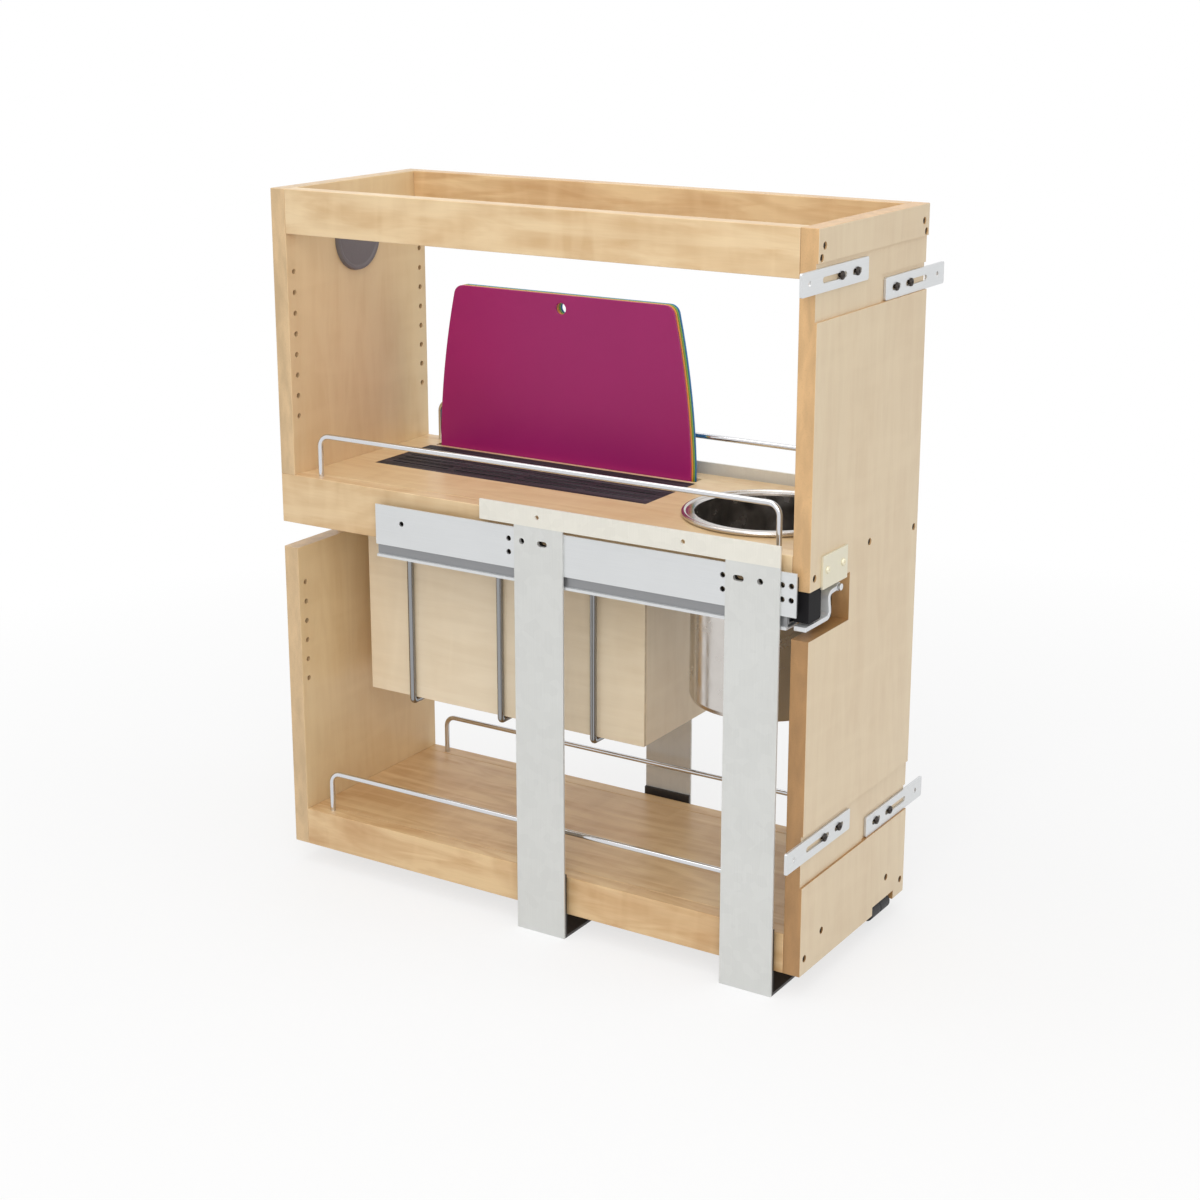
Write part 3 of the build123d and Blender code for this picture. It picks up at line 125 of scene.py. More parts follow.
class WoodSettings(PropertyGroup):
    """Colours and figure of the maple."""
    rail_tone: tone("Rail", "Pale maple of the left rail and the shelf boards", 238, 212, 170)
    rail_grain: tone("Rail grain", "Growth rings of the left rail and the shelf boards", 206, 166, 116)
    base_tone: tone("Base board", "Warmer maple of the right rail and the base", 232, 200, 152)
    base_grain: tone("Base board grain", "Growth rings of the right rail and the base", 204, 160, 110)
    panel_tone: tone("Panel", "Maple veneer of the front panel", 222, 203, 171)
    panel_grain: tone("Panel grain", "Growth rings of the front panel", 208, 182, 148)
    deck_tone: tone("Deck", "Maple of the middle deck and the back panel", 232, 206, 162)
    deck_grain: tone("Deck grain", "Growth rings of the middle deck and the back panel", 214, 178, 128)
    box_tone: tone("Box", "Thin plywood of the hanging box", 242, 226, 198)
    box_grain: tone("Box grain", "Grain of the thin plywood", 224, 202, 168)
    front_edge: tone("Front panel edge", "Sawn edges of the front panel above the latch", 222, 180, 128)
    # The lower front edge colour is painted shade on the sawn faces below the latch.
    shaded_low_edge: tone("Lower front edge", "Sawn edges of the front panel below the latch", 180, 136, 86)
    back_edge: tone("Back panel edge", "Sawn edges of the back panel", 222, 190, 146)
    end_grain: tone("End grain", "Sawn ends of the rails and boards", 192, 148, 102)
    rail_figure: share("Rail figure", "How strongly the grain of the paler boards shows", 0.6)
    base_figure: share("Base board figure", "How strongly the grain of the warmer boards shows", 0.9)
    panel_figure: share("Panel figure", "How strongly the grain of the veneer and plywood shows", 0.32)
    lacquer: share("Lacquer", "Weight of the clear coat", 0.2)


class MetalSettings(PropertyGroup):
    """Colours of the metals, and the rounding of their edges."""
    zinc: tone("Zinc", "Bright zinc plate of the runners and small parts", 221, 223, 224)
    # The groove colour is painted shade, laid as a darker band over the fixed member's groove.
    groove_shade: tone("Groove", "Greased groove of the fixed runner member", 150, 151, 153)
    galvanised: tone("Galvanised", "Galvanised sheet of the leg frames", 218, 219, 216)
    strip: tone("Strip", "Top strip of the leg frames", 236, 233, 222)
    ivory: tone("Ivory", "Pale passivated plate of the latch", 228, 222, 200)
    chrome: tone("Chrome", "Chromed wire of the retaining rods", 214, 215, 218)
    # The cradle wire colour is the chrome darkened as painted shade for the wires under the box.
    cradle_shaded_chrome: tone("Cradle wire", "Duller plate of the wires under the box", 150, 151, 153)
    stainless: tone("Stainless", "Polished steel of the utensil bin", 206, 201, 196)
    black_oxide: tone("Black oxide", "Screws", 58, 52, 48)
    # The floor plates' black coat stands in as painted shade under the unit.
    shaded_black_coat: tone("Black coat", "Floor plates", 46, 42, 40)
    edge: length("Edge", "Rounding of cut sheet edges", 0.25)


class PlasticSettings(PropertyGroup):
    """Colours of the plastic and rubber pieces."""
    magenta: tone("First board", "Cutting board nearest the insert", 164, 20, 106)
    orange: tone("Second board", "Second cutting board", 232, 150, 50)
    green: tone("Third board", "Third cutting board", 120, 168, 60)
    blue: tone("Fourth board", "Fourth cutting board", 40, 120, 180)
    insert: tone("Knife insert", "Dark plastic of the knife insert", 38, 34, 38)
    insert_streak: tone("Knife insert streak", "Lighter streaks along the knife insert", 92, 86, 92)
    # The housings' black plastic is their own colour and also stands in as painted shade seen through the
    # flange holes.
    housing_and_hole_shade: tone("Housing", "Black plastic housings behind the runners' flanges", 26, 26, 28)
    block: tone("Latch block", "Dark plastic of the latch block", 22, 21, 23)
    cap: tone("Round cap", "Grey plastic of the round cap", 112, 106, 108)
    cage: tone("Roller cage", "Pale plastic of the runners' roller cages", 222, 222, 214)
    rubber: tone("Roller", "Tread of the floor roller", 42, 42, 44)
    hub: tone("Roller hub", "Plastic hub of the floor roller", 130, 130, 132)
    edge: length("Edge", "Rounding of moulded edges", 0.5)


class StageSettings(PropertyGroup):
    """Camera, floor and studio light."""
    lens: FloatProperty(
        name="Lens", description="Focal length on a 36 mm sensor", default=64.67,
        unit="CAMERA", min=1.0,
    )
    camera_place: FloatVectorProperty(
        name="Camera", description="Where the camera stands", default=(-1.5876, -0.8897, 0.8542),
        subtype="TRANSLATION", unit="LENGTH",
    )
    azimuth: FloatProperty(
        name="Azimuth", description="Way the camera looks, from +Y towards +X",
        default=math.radians(57.737), subtype="ANGLE", unit="ROTATION",
    )
    pitch: FloatProperty(
        name="Pitch", description="How far the camera looks down", default=math.radians(15.344),
        subtype="ANGLE", unit="ROTATION",
    )
    shift: FloatProperty(
        name="Shift", description="Vertical lens shift, in sensor widths", default=-0.05,
        min=-0.05, max=0.05,
    )
    floor_tone: tone("Floor", "Pale floor", 240, 240, 240)
    key: power("Key light", "Power of the key light", 30.0)
    fill: power("Fill light", "Power of the fill light", 12.0)
    top: power("Top light", "Power of the top light", 22.0)
    sky: FloatProperty(name="Sky", description="Strength of the even light", default=0.42, min=0.0)
    steps: IntProperty(name="Steps", description="Facets round a turned piece", default=96, min=12)


# Materials

class Finish:
    """A node material that is being put together round one shader."""

    def __init__(self, name, roughness, metallic=0.0):
        self.material = bpy.data.materials.new(name)
        self.material.use_nodes = True
        self.tree = self.material.node_tree
        self.shader = self.tree.nodes["Principled BSDF"]
        self.set("Roughness", roughness)
        self.set("Metallic", metallic)
        self.coordinates = self.node("TexCoord")

    def set(self, socket, value):
        """Fills or links a socket of the shader."""
        self.fill(self.shader.inputs[socket], value)
        return self

    def fill(self, socket, value):
        if isinstance(value, bpy.types.NodeSocket):
            self.tree.links.new(value, socket)
        elif socket.type == "RGBA" and len(value) == 3:
            socket.default_value = (*value, 1.0)
        else:
            socket.default_value = value

    def node(self, kind, sockets=None, **settings):
        """A new node, with its settings made and its sockets filled or linked."""
        made = self.tree.nodes.new("ShaderNode" + kind)
        for name, value in settings.items():
            setattr(made, name, value)
        for key, value in (sockets or {}).items():
            self.fill(made.inputs[key], value)
        return made

    def place(self, scale=(1, 1, 1), shift=(0, 0, 0)):
        """Object coordinates, stretched and shifted."""
        sockets = {"Vector": self.coordinates.outputs["Object"], "Scale": scale, "Location": shift}
        return self.node("Mapping", sockets).outputs["Vector"]

    def noise(self, vector, scale, detail=2.0, roughness=0.5, distortion=0.0):
        sockets = {
            "Vector": vector, "Scale": scale, "Detail": detail,
            "Roughness": roughness, "Distortion": distortion,
        }
        return self.node("TexNoise", sockets).outputs["Fac"]

    def cells(self, vector, scale):
        sockets = {"Vector": vector, "Scale": scale}
        colour = self.node("TexVoronoi", sockets).outputs["Color"]
        return self.node("SeparateColor", {"Color": colour}).outputs["Red"]

    def calc(self, operation, *values):
        sockets = dict(enumerate(values))
        return self.node("Math", sockets, operation=operation).outputs["Value"]

    def spread(self, value, low, high, start=0.0, stop=1.0):
        """Maps low to high onto start to stop, and holds it there outside them."""
        sockets = {"Value": value, "From Min": low, "From Max": high, "To Min": start, "To Max": stop}
        return self.node("MapRange", sockets).outputs["Result"]

    def mix(self, factor, first, second, blend="MIX"):
        made = self.node("Mix", data_type="RGBA", blend_type=blend)
        self.fill(made.inputs[0], factor)
        self.fill(made.inputs[6], first)
        self.fill(made.inputs[7], second)
        return made.outputs[2]

    def height(self):
        """How high the shaded point is."""
        return self.node("SeparateXYZ", {"Vector": self.coordinates.outputs["Object"]}).outputs["Z"]

    def facing(self, axis):
        """1 on faces square to an axis, and 0 on faces along it."""
        parts = self.node("SeparateXYZ", {"Vector": self.coordinates.outputs["Normal"]})
        return self.spread(self.calc("ABSOLUTE", parts.outputs[axis]), 0.6, 0.8)

    def bump(self, height, distance, strength=1.0):
        sockets = {"Height": height, "Distance": distance, "Strength": strength}
        return self.set("Normal", self.node("Bump", sockets).outputs["Normal"])


def along(axis, long_scale, cross_scale=1.0):
    """A scale that stretches a pattern along one axis."""
    scale = [cross_scale] * 3
    scale[axis] = long_scale
    return scale


def shaded(colour, factor):
    """The same colour, darker or lighter."""
    return tuple(min(1.0, part * factor) for part in colour)


def maple(name, look, grain, seed, pale, rings, figure, sawn, sawn_axis, whole_edge=False, shaded_low_edge=None):
    """Lacquered maple with its grain along one axis.

    Sawn faces are those square to sawn_axis or, with whole_edge, all that aren't.
    Below the latch they take the colour low_edge, where one is given.
    """
    wood = Finish(name, roughness=0.4)
    shift = (seed * 0.73, seed * 1.31, seed * 0.57)
    field = wood.noise(wood.place(along(grain, 0.13), shift), 16.0, detail=2.0, distortion=0.5)
    growth = wood.calc("SINE", wood.calc("MULTIPLY", field, 48.0))
    growth = wood.spread(growth, -0.6, 1.0, 0.0, 0.5 * figure)
    waves = wood.place(along(grain, 0.16), shift)
    flame = wood.noise(waves, 62.0, detail=3.0, roughness=0.55, distortion=0.8)
    flame = wood.spread(flame, 0.42, 0.68, 0.0, figure)
    broad = wood.noise(wood.place(along(grain, 0.3), shift), 7.0, detail=2.0)
    broad = wood.spread(broad, 0.35, 0.7, 0.0, 0.35)
    curl = wood.noise(wood.place(along(grain, 1.0, 0.25), shift), 55.0, detail=1.0, distortion=0.6)
    curl = wood.spread(curl, 0.42, 0.72, 0.0, 0.3)
    fibre = wood.noise(wood.place(along(grain, 0.04), shift), 800.0, detail=2.0)
    colour = wood.mix(broad, pale, rings)
    colour = wood.mix(flame, colour, rings)
    colour = wood.mix(growth, colour, shaded(rings, 0.94))
    colour = wood.mix(curl, colour, shaded(pale, 1.05))
    colour = wood.mix(wood.spread(fibre, 0.3, 0.7, 0.1 * figure, 0.0), colour, shaded(rings, 0.6))
    pores = wood.noise(wood.place(), 900.0, detail=1.0)
    bands = wood.noise(wood.place(along(grain, 0.3), shift), 90.0, detail=3.0, distortion=0.3)
    # Painted shade: the sawn faces below the latch take a darker colour.
    if shaded_low_edge is not None:
        latch_low, latch_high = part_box("latch_block")
        sawn = wood.mix(wood.spread(wood.height(), latch_low.z, latch_high.z), shaded_low_edge, sawn)
    mottle = wood.mix(wood.spread(bands, 0.35, 0.65), (0.8, 0.8, 0.8), (1.0, 1.0, 1.0))
    mottle = wood.mix(wood.spread(pores, 0.55, 0.75, 0.0, 0.3), mottle, (0.62, 0.62, 0.62))
    end = wood.mix(1.0, sawn, mottle, "MULTIPLY")
    mask = wood.facing(sawn_axis)
    if whole_edge:
        mask = wood.calc("SUBTRACT", 1.0, mask)
    wood.set("Base Color", wood.mix(mask, colour, end))
    wood.set("Roughness", wood.spread(fibre, 0.3, 0.7, 0.5, 0.38))
    wood.set("Coat Weight", look.lacquer)
    wood.set("Coat Roughness", 0.25)
    wood.bump(fibre, 0.03 * MM)
    return wood.material


def brushed(name, colour, axis, roughness, metallic=1.0, mottling=0.0, bands=()):
    """Sheet metal with fine lines along one axis.

    Each band is a lowest and highest height and the colour between them.
    """
    metal = Finish(name, roughness, metallic)
    lines = metal.noise(metal.place(along(axis, 0.008)), 3000.0, detail=2.0)
    clouds = metal.noise(metal.place(), 22.0, detail=4.0)
    height = metal.height()
    for low, high, band_colour in bands:
        above = metal.calc("GREATER_THAN", height, low)
        inside = metal.calc("MULTIPLY", above, metal.calc("LESS_THAN", height, high))
        colour = metal.mix(inside, colour, band_colour)
    grey = metal.mix(metal.spread(lines, 0.3, 0.7, 0.0, 0.06), colour, (0.45, 0.45, 0.45), "MULTIPLY")
    grey = metal.mix(metal.spread(clouds, 0.4, 0.7, 0.0, 0.08), grey, (0.75, 0.75, 0.75), "MULTIPLY")
    if mottling:
        spangle = metal.cells(metal.place(), 110.0)
        grey = metal.mix(metal.spread(spangle, 0.2, 0.8, 0.0, mottling), grey, (0.7, 0.7, 0.7), "MULTIPLY")
    metal.set("Base Color", grey)
    metal.set("Roughness", metal.spread(lines, 0.3, 0.7, roughness * 0.85, roughness * 1.2))
    metal.bump(lines, 0.001 * MM)
    return metal.material


def polished(name, colour, roughness):
    """Smooth metal with faint handling marks."""
    metal = Finish(name, roughness, metallic=1.0)
    haze = metal.noise(metal.place(), 60.0, detail=4.0)
    specks = metal.noise(metal.place(), 900.0, detail=2.0)
    metal.set("Base Color", metal.mix(metal.spread(haze, 0.4, 0.7, 0.0, 0.4), colour, shaded(colour, 0.94)))
    metal.set("Roughness", metal.spread(haze, 0.35, 0.7, roughness * 0.7, roughness * 1.6))
    metal.bump(specks, 0.003 * MM)
    return metal.material


def coated(name, colour, roughness, metallic=0.0):
    """A dark coat or oxide with rubbed patches."""
    coat = Finish(name, roughness, metallic)
    wear = coat.noise(coat.place(), 140.0, detail=5.0, roughness=0.6)
    grain = coat.noise(coat.place(), 1800.0, detail=2.0)
    coat.set("Base Color", coat.mix(coat.spread(wear, 0.5, 0.75, 0.0, 0.5), colour, shaded(colour, 1.7)))
    coat.set("Roughness", coat.spread(grain, 0.3, 0.7, roughness * 0.8, roughness * 1.2))
    coat.bump(grain, 0.02 * MM)
    return coat.material


def moulded(name, colour, roughness, pebble=0.02, pebble_scale=1400.0, shine=0.5):
    """Moulded plastic or rubber with a fine pebbled face."""
    plastic = Finish(name, roughness)
    plastic.set("Specular IOR Level", shine)
    pebbles = plastic.noise(plastic.place(), pebble_scale, detail=2.0)
    cast = plastic.noise(plastic.place(), 12.0, detail=3.0)
    cast = plastic.spread(cast, 0.35, 0.7, 0.0, 0.5)
    plastic.set("Base Color", plastic.mix(cast, colour, shaded(colour, 0.88)))
    plastic.set("Roughness", plastic.spread(pebbles, 0.3, 0.7, roughness * 0.85, roughness * 1.15))
    plastic.bump(pebbles, pebble * MM)
    return plastic.material


def streaked(name, colour, streak):
    """Dark plastic with fine ridges that run along Y."""
    plastic = Finish(name, 0.6)
    plastic.set("Specular IOR Level", 0.2)
    ridges = plastic.noise(plastic.place(along(Y, 0.012)), 420.0, detail=2.0)
    pebbles = plastic.noise(plastic.place(), 1600.0, detail=1.0)
    plastic.set("Base Color", plastic.mix(plastic.spread(ridges, 0.45, 0.75, 0.0, 0.8), colour, streak))
    plastic.set("Roughness", plastic.spread(pebbles, 0.3, 0.7, 0.55, 0.7))
    plastic.bump(ridges, 0.12 * MM)
    return plastic.material


# Meshes

def cad_copy(node):
    """A mesh copy of a CAD node, welded and with its flat faces made whole."""
    shape = bmesh.new()
    shape.from_mesh(frame["nodes"][node].data)
    bmesh.ops.remove_doubles(shape, verts=shape.verts[:], dist=WELD)
    bmesh.ops.dissolve_limit(
        shape, angle_limit=FLAT_ANGLE, use_dissolve_boundaries=False,
        verts=shape.verts[:], edges=shape.edges[:], delimit={"NORMAL"},
    )
    return shape


def eased(shape, width, segments=2):
    """Rounds the sharp edges of a shape."""
    sharp = [edge for edge in shape.edges if edge.is_manifold and edge.calc_face_angle() > SHARP_ANGLE]
    bmesh.ops.bevel(
        shape, geom=sharp, offset=width, offset_type="OFFSET", affect="EDGES",
        segments=segments, profile=0.5, material=-1, clamp_overlap=True,
    )
    return shape


def islands(node):
    """Lowest and highest corner of each separate solid in a CAD node."""
    shape = cad_copy(node)
    left = set(shape.verts)
    boxes = []
    while left:
        group = {left.pop()}
        edge_of_group = list(group)
        while edge_of_group:
            vert = edge_of_group.pop()
            for edge in vert.link_edges:
                other = edge.other_vert(vert)
                if other in left:
                    left.remove(other)
                    group.add(other)
                    edge_of_group.append(other)
        places = [vert.co for vert in group]
        low = Vector([min(place[axis] for place in places) for axis in range(3)])
        high = Vector([max(place[axis] for place in places) for axis in range(3)])
        boxes.append((low, high))
    shape.free()
    return sorted(boxes, key=lambda box: tuple(round(part, 5) for part in box[0]))


def turned(profile, rounding=0.0, steps=48):
    """Spins a profile of (radius, height) points round the Z axis. The profile is closed by its ends."""
    shape = bmesh.new()
    verts = [shape.verts.new((radius, 0, height)) for radius, height in profile]
    for first, second in zip(verts, verts[1:]):
        shape.edges.new((first, second))
    if rounding:
        bmesh.ops.bevel(
            shape, geom=verts[1:-1], offset=rounding, offset_type="OFFSET", affect="VERTICES",
            segments=3, profile=0.5, material=-1,
        )
    bmesh.ops.spin(
        shape, geom=shape.verts[:] + shape.edges[:], cent=(0, 0, 0), axis=(0, 0, 1),
        angle=math.tau, steps=steps, use_merge=True,
    )
    bmesh.ops.remove_doubles(shape, verts=shape.verts[:], dist=WELD)
    bmesh.ops.recalc_face_normals(shape, faces=shape.faces[:])
    return shape


def faced(direction, place):
    """Turns +Z to a direction and moves to a place."""
    return Matrix.Translation(place) @ Vector((0, 0, 1)).rotation_difference(direction).to_matrix().to_4x4()


def joined(shapes):
    """One mesh of several, each given with its transform."""
    whole = bmesh.new()
    for shape, matrix in shapes:
        part = bpy.data.meshes.new("part")
        shape.transform(matrix)
        shape.to_mesh(part)
        shape.free()
        whole.from_mesh(part)
        bpy.data.meshes.remove(part)
    return whole


def bent_wire(points, bend, radius, sides=20, bend_steps=8):
    """A round wire along straight runs with tangent bends, capped at both ends."""
    shape = bmesh.new()
    corners = [Vector(point) for point in points]
    start = (corners[1] - corners[0]).normalized()
    made = bmesh.ops.create_circle(
        shape, cap_ends=True, radius=radius, segments=sides, matrix=faced(start, corners[0]),
    )
    ring = list({edge for vert in made["verts"] for edge in vert.link_edges})
    place = corners[0]
    for before, corner, after in zip(corners, corners[1:], corners[2:] + [None]):
        run = (corner - before).normalized()
        stop = corner if after is None else corner - run * bend
        grown = bmesh.ops.extrude_edge_only(shape, edges=ring)["geom"]
        verts = [part for part in grown if isinstance(part, bmesh.types.BMVert)]
        ring = [part for part in grown if isinstance(part, bmesh.types.BMEdge)]
        bmesh.ops.translate(shape, verts=verts, vec=stop - place)
        place = stop
        if after is None:
            break
        turn = (after - corner).normalized()
        grown = bmesh.ops.spin(
            shape, geom=ring, cent=stop + turn * bend, axis=run.cross(turn),
            angle=run.angle(turn), steps=bend_steps,
        )["geom_last"]
        ring = [part for part in grown if isinstance(part, bmesh.types.BMEdge)]
        place = corner + turn * bend
    bmesh.ops.contextual_create(shape, geom=ring)
    bmesh.ops.remove_doubles(shape, verts=shape.verts[:], dist=WELD)
    bmesh.ops.recalc_face_normals(shape, faces=shape.faces[:])
    return shape


def cross_recess(shape, rim, size, depth):
    """Closes a round opening with a flat face that has a cross-shaped recess, pressed down along -Z."""
    height = rim[0].verts[0].co.z
    arm = 0.3 * size
    level = Matrix.Translation((0, 0, height))
    grid = bmesh.ops.create_grid(shape, x_segments=3, y_segments=3, size=size, matrix=level)
    verts = grid["verts"]
    for vert in verts:
        for axis in (X, Y):
            if abs(vert.co[axis]) < 0.9 * size:
                vert.co[axis] = math.copysign(arm, vert.co[axis])
    faces = list({face for vert in verts for face in vert.link_faces})
    corners = [face for face in faces if min(abs(part) for part in face.calc_center_median().xy) > arm]
    bmesh.ops.delete(shape, geom=corners, context="FACES")
    cross = [face for face in faces if face.is_valid]
    edges = {edge for face in cross for edge in face.edges if edge.is_boundary}
    bmesh.ops.bridge_loops(shape, edges=rim + list(edges))
    pressed = bmesh.ops.extrude_face_region(shape, geom=cross)["geom"]
    verts = [part for part in pressed if isinstance(part, bmesh.types.BMVert)]
    bmesh.ops.translate(shape, verts=verts, vec=(0, 0, -depth))
    bmesh.ops.scale(shape, verts=verts, vec=(0.55, 0.55, 1))
    bmesh.ops.delete(shape, geom=cross, context="FACES")


def screw(head, shank, length, head_height, crown):
    """A screw that points down -Z from its head at z 0: countersunk with no crown, or pan-headed."""
    if crown:
        profile = [(0.72 * head, 0), (0.93 * head, -0.25 * head_height), (head, -0.6 * head_height),
                   (head, -head_height), (shank, -head_height)]
    else:
        profile = [(0.96 * head, 0), (head, -0.12 * head_height), (shank, -head_height)]
    profile += [(shank, 0.35 * shank - length), (0.6 * shank, -length), (0, -length)]
    shape = turned(profile, steps=24)
    rim = [edge for edge in shape.edges if edge.is_boundary]
    cross_recess(shape, rim, 0.62 * profile[0][0], 0.42 * head_height)
    bmesh.ops.recalc_face_normals(shape, faces=shape.faces[:])
    return shape


def add_piece(shape, name, material, node, replaced=(), steady=True):
    """Makes a named object that rides on a CAD node's body, takes its slot and stands for CAD nodes."""
    mesh = bpy.data.meshes.new(name)
    shape.to_mesh(mesh)
    shape.free()
    mesh.materials.append(material)
    mesh.shade_smooth()
    mesh.set_sharp_from_angle(angle=SHARP_ANGLE)
    piece = bpy.data.objects.new(name, mesh)
    bpy.context.scene.collection.objects.link(piece)
    if steady:
        normals = piece.modifiers.new("Even shading", "WEIGHTED_NORMAL")
        normals.keep_sharp = True
    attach(piece, frame["nodes"][node]["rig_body"])
    if replaced:
        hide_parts(*replaced)
    return piece


def ease_nodes(nodes, width, material):
    """Puts an edge-rounded copy in the place of each CAD node."""
    for node in nodes:
        add_piece(eased(cad_copy(node), width), node + "_finished", material, node, (node,))


def finish_nodes(nodes, material):
    """Gives CAD nodes a material."""
    for node in nodes:
        mesh = frame["nodes"][node].data
        mesh.materials.clear()
        mesh.materials.append(material)


def both(*names):
    """The left and right nodes of each name."""
    return [side + "_" + name for name in names for side in SIDES]


# Pieces

class ORGANIZER_OT_wood_body(Operator):
    """Give every board and panel its own length of lacquered maple"""
    bl_idname = "organizer.wood_body"
    bl_label = "Wood body"

    def execute(self, context):
        look = context.scene.organizer_wood
        seed = 1
        for nodes, pale, rings, figure in (
            (["left_top_rail"] + both("shelf_board"), look.rail_tone, look.rail_grain, look.rail_figure),
            (
                ["right_top_rail"] + both("base_board") + ["base_deck"],
                look.base_tone, look.base_grain, look.base_figure,
            ),
            (["shelf_deck"], look.deck_tone, look.deck_grain, look.rail_figure),
        ):
            for node in nodes:
                material = maple("maple_" + node, look, Y, seed, pale, rings, figure, look.end_grain, Y)
                finish_nodes([node], material)
                seed += 1
        for node, pale, rings, edge, shaded_low_edge in (
            ("front_panel", look.panel_tone, look.panel_grain, look.front_edge, look.shaded_low_edge),
            ("back_panel", look.deck_tone, look.deck_grain, look.back_edge, None),
        ):
            material = maple(
                "maple_" + node, look, Z, seed, pale, rings, look.panel_figure,
                edge, Y, whole_edge=True, shaded_low_edge=shaded_low_edge,
            )
            finish_nodes([node], material)
            seed += 1
        return {"FINISHED"}


class ORGANIZER_OT_panel_screws(Operator):
    """Drive countersunk wood screws through both end panels"""
    bl_idname = "organizer.panel_screws"
    bl_label = "Panel screws"

    def execute(self, context):
        material = coated("black_oxide", context.scene.organizer_metal.black_oxide, 0.38, metallic=0.8)
        for node, facing in (("front_panel_screws", FRONT), ("back_panel_screws", BACK)):
            shapes = []
            for low, high in islands(node):
                head = (high.x - low.x) / 2
                middle = (low + high) / 2
                middle.y = low.y if facing is FRONT else high.y
                shape = screw(head, 0.66 * head, high.y - low.y, 1.1 * head, crown=False)
                shapes.append((shape, faced(facing, middle)))
            add_piece(joined(shapes), node + "_finished", material, node, (node,))
        return {"FINISHED"}


class ORGANIZER_OT_round_cap(Operator):
    """Turn the cap that closes the round hole in the back panel"""
    bl_idname = "organizer.round_cap"
    bl_label = "Round cap"

    def execute(self, context):
        low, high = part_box("round_cap")
        radius = (high.x - low.x) / 2
        depth = high.y - low.y
        flange, rim, dish = 4.0 * MM, 3.5 * MM, 1.2 * MM
        plug = 26.0 * MM
        profile = [
            (0, -dish), (radius - rim - 1.5 * MM, -dish), (radius - rim, 0), (radius - 0.8 * MM, 0),
            (radius, -flange), (plug, -flange), (plug, -depth), (0, -depth),
        ]
        middle = Vector(((low.x + high.x) / 2, low.y, (low.z + high.z) / 2))
        shape = joined([(turned(profile, 0.5 * MM, 72), faced(FRONT, middle))])
        material = moulded("grey_plastic", context.scene.organizer_plastic.cap, 0.5, 0.05, 500.0)
        add_piece(shape, "round_cap_finished", material, "round_cap", ("round_cap",))
        return {"FINISHED"}


class ORGANIZER_OT_runners(Operator):
    """Finish the telescopic runners, their roller cages and their screws"""
    bl_idname = "organizer.runners"
    bl_label = "Runners"

    def execute(self, context):
        look = context.scene.organizer_metal
        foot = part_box("left_cabinet_member")[0].z
        # Painted shade: a darker band, by height, over the fixed member's groove.
        groove_shade = (foot + GROOVE_FOOT, foot + GROOVE_TOP, look.groove_shade)
        zinc = brushed("zinc_plate", look.zinc, Y, 0.36, metallic=0.6, bands=(groove_shade,))
        ease_nodes(both("cabinet_member"), look.edge, zinc)
        inner = brushed("inner_zinc", look.zinc, Y, 0.3)
        ease_nodes(both("middle_member", "drawer_member"), look.edge, inner)
        plastic = context.scene.organizer_plastic
        # The black housings also serve as painted shade seen through the flange holes.
        ease_nodes(("soft_close_housings",), plastic.edge, moulded("housing_plastic", plastic.housing_and_hole_shade, 0.5))
        cage = moulded("cage_plastic", plastic.cage, 0.42)
        finish_nodes(both("outer_cage", "inner_cage"), cage)
        shapes = []
        for low, high in islands("runner_screws"):
            head = (high.x - low.x) / 2
            seat = Vector(((low.x + high.x) / 2, (low.y + high.y) / 2, low.z))
            shape = screw(head, 0.66 * head, high.z - low.z, PAN_HEAD, crown=True)
            shapes.append((shape, faced(Vector((0, 0, -1)), seat)))
        plated = polished("plated_screw", look.zinc, 0.25)
        add_piece(joined(shapes), "runner_screws_finished", plated, "runner_screws", ("runner_screws",))
        return {"FINISHED"}


class ORGANIZER_OT_leg_frames(Operator):
    """Finish the steel leg frames, their rivets and their floor plates"""
    bl_idname = "organizer.leg_frames"
    bl_label = "Leg frames"

    def execute(self, context):
        look = context.scene.organizer_metal
        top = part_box("left_leg_frame")[1].z
        strip = (top - STRIP_HEIGHT, top + MM, look.strip)
        sheet = brushed(
            "galvanised_sheet", look.galvanised, Z, 0.5, metallic=0.3, mottling=0.1, bands=(strip,),
        )
        ease_nodes(both("leg_frame"), look.edge, sheet)
        ease_nodes(("frame_rivets",), RIVET_EDGE, sheet)
        # The floor plates are coated black as painted shade under the unit.
        black = coated("shaded_black_coat", look.shaded_black_coat, 0.45)
        ease_nodes(("front_floor_plate", "rear_floor_plate"), look.edge, black)
        return {"FINISHED"}


class ORGANIZER_OT_retaining_rods(Operator):
    """Bend the chromed rods that keep things on the decks"""
    bl_idname = "organizer.retaining_rods"
    bl_label = "Retaining rods"

    def execute(self, context):
        chrome = polished("chromed_wire", context.scene.organizer_metal.chrome, 0.1)
        for node in both("shelf_rod", "base_rod"):
            low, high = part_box(node)
            radius = (high.x - low.x) / 2
            middle = (low.x + high.x) / 2
            front, rear, crown = low.y + radius, high.y - radius, high.z - radius
            points = (
                (middle, front, low.z), (middle, front, crown), (middle, rear, crown), (middle, rear, low.z),
            )
            shape = bent_wire(points, ROD_BEND, radius)
            add_piece(shape, node + "_finished", chrome, node, (node,), steady=False)
        return {"FINISHED"}


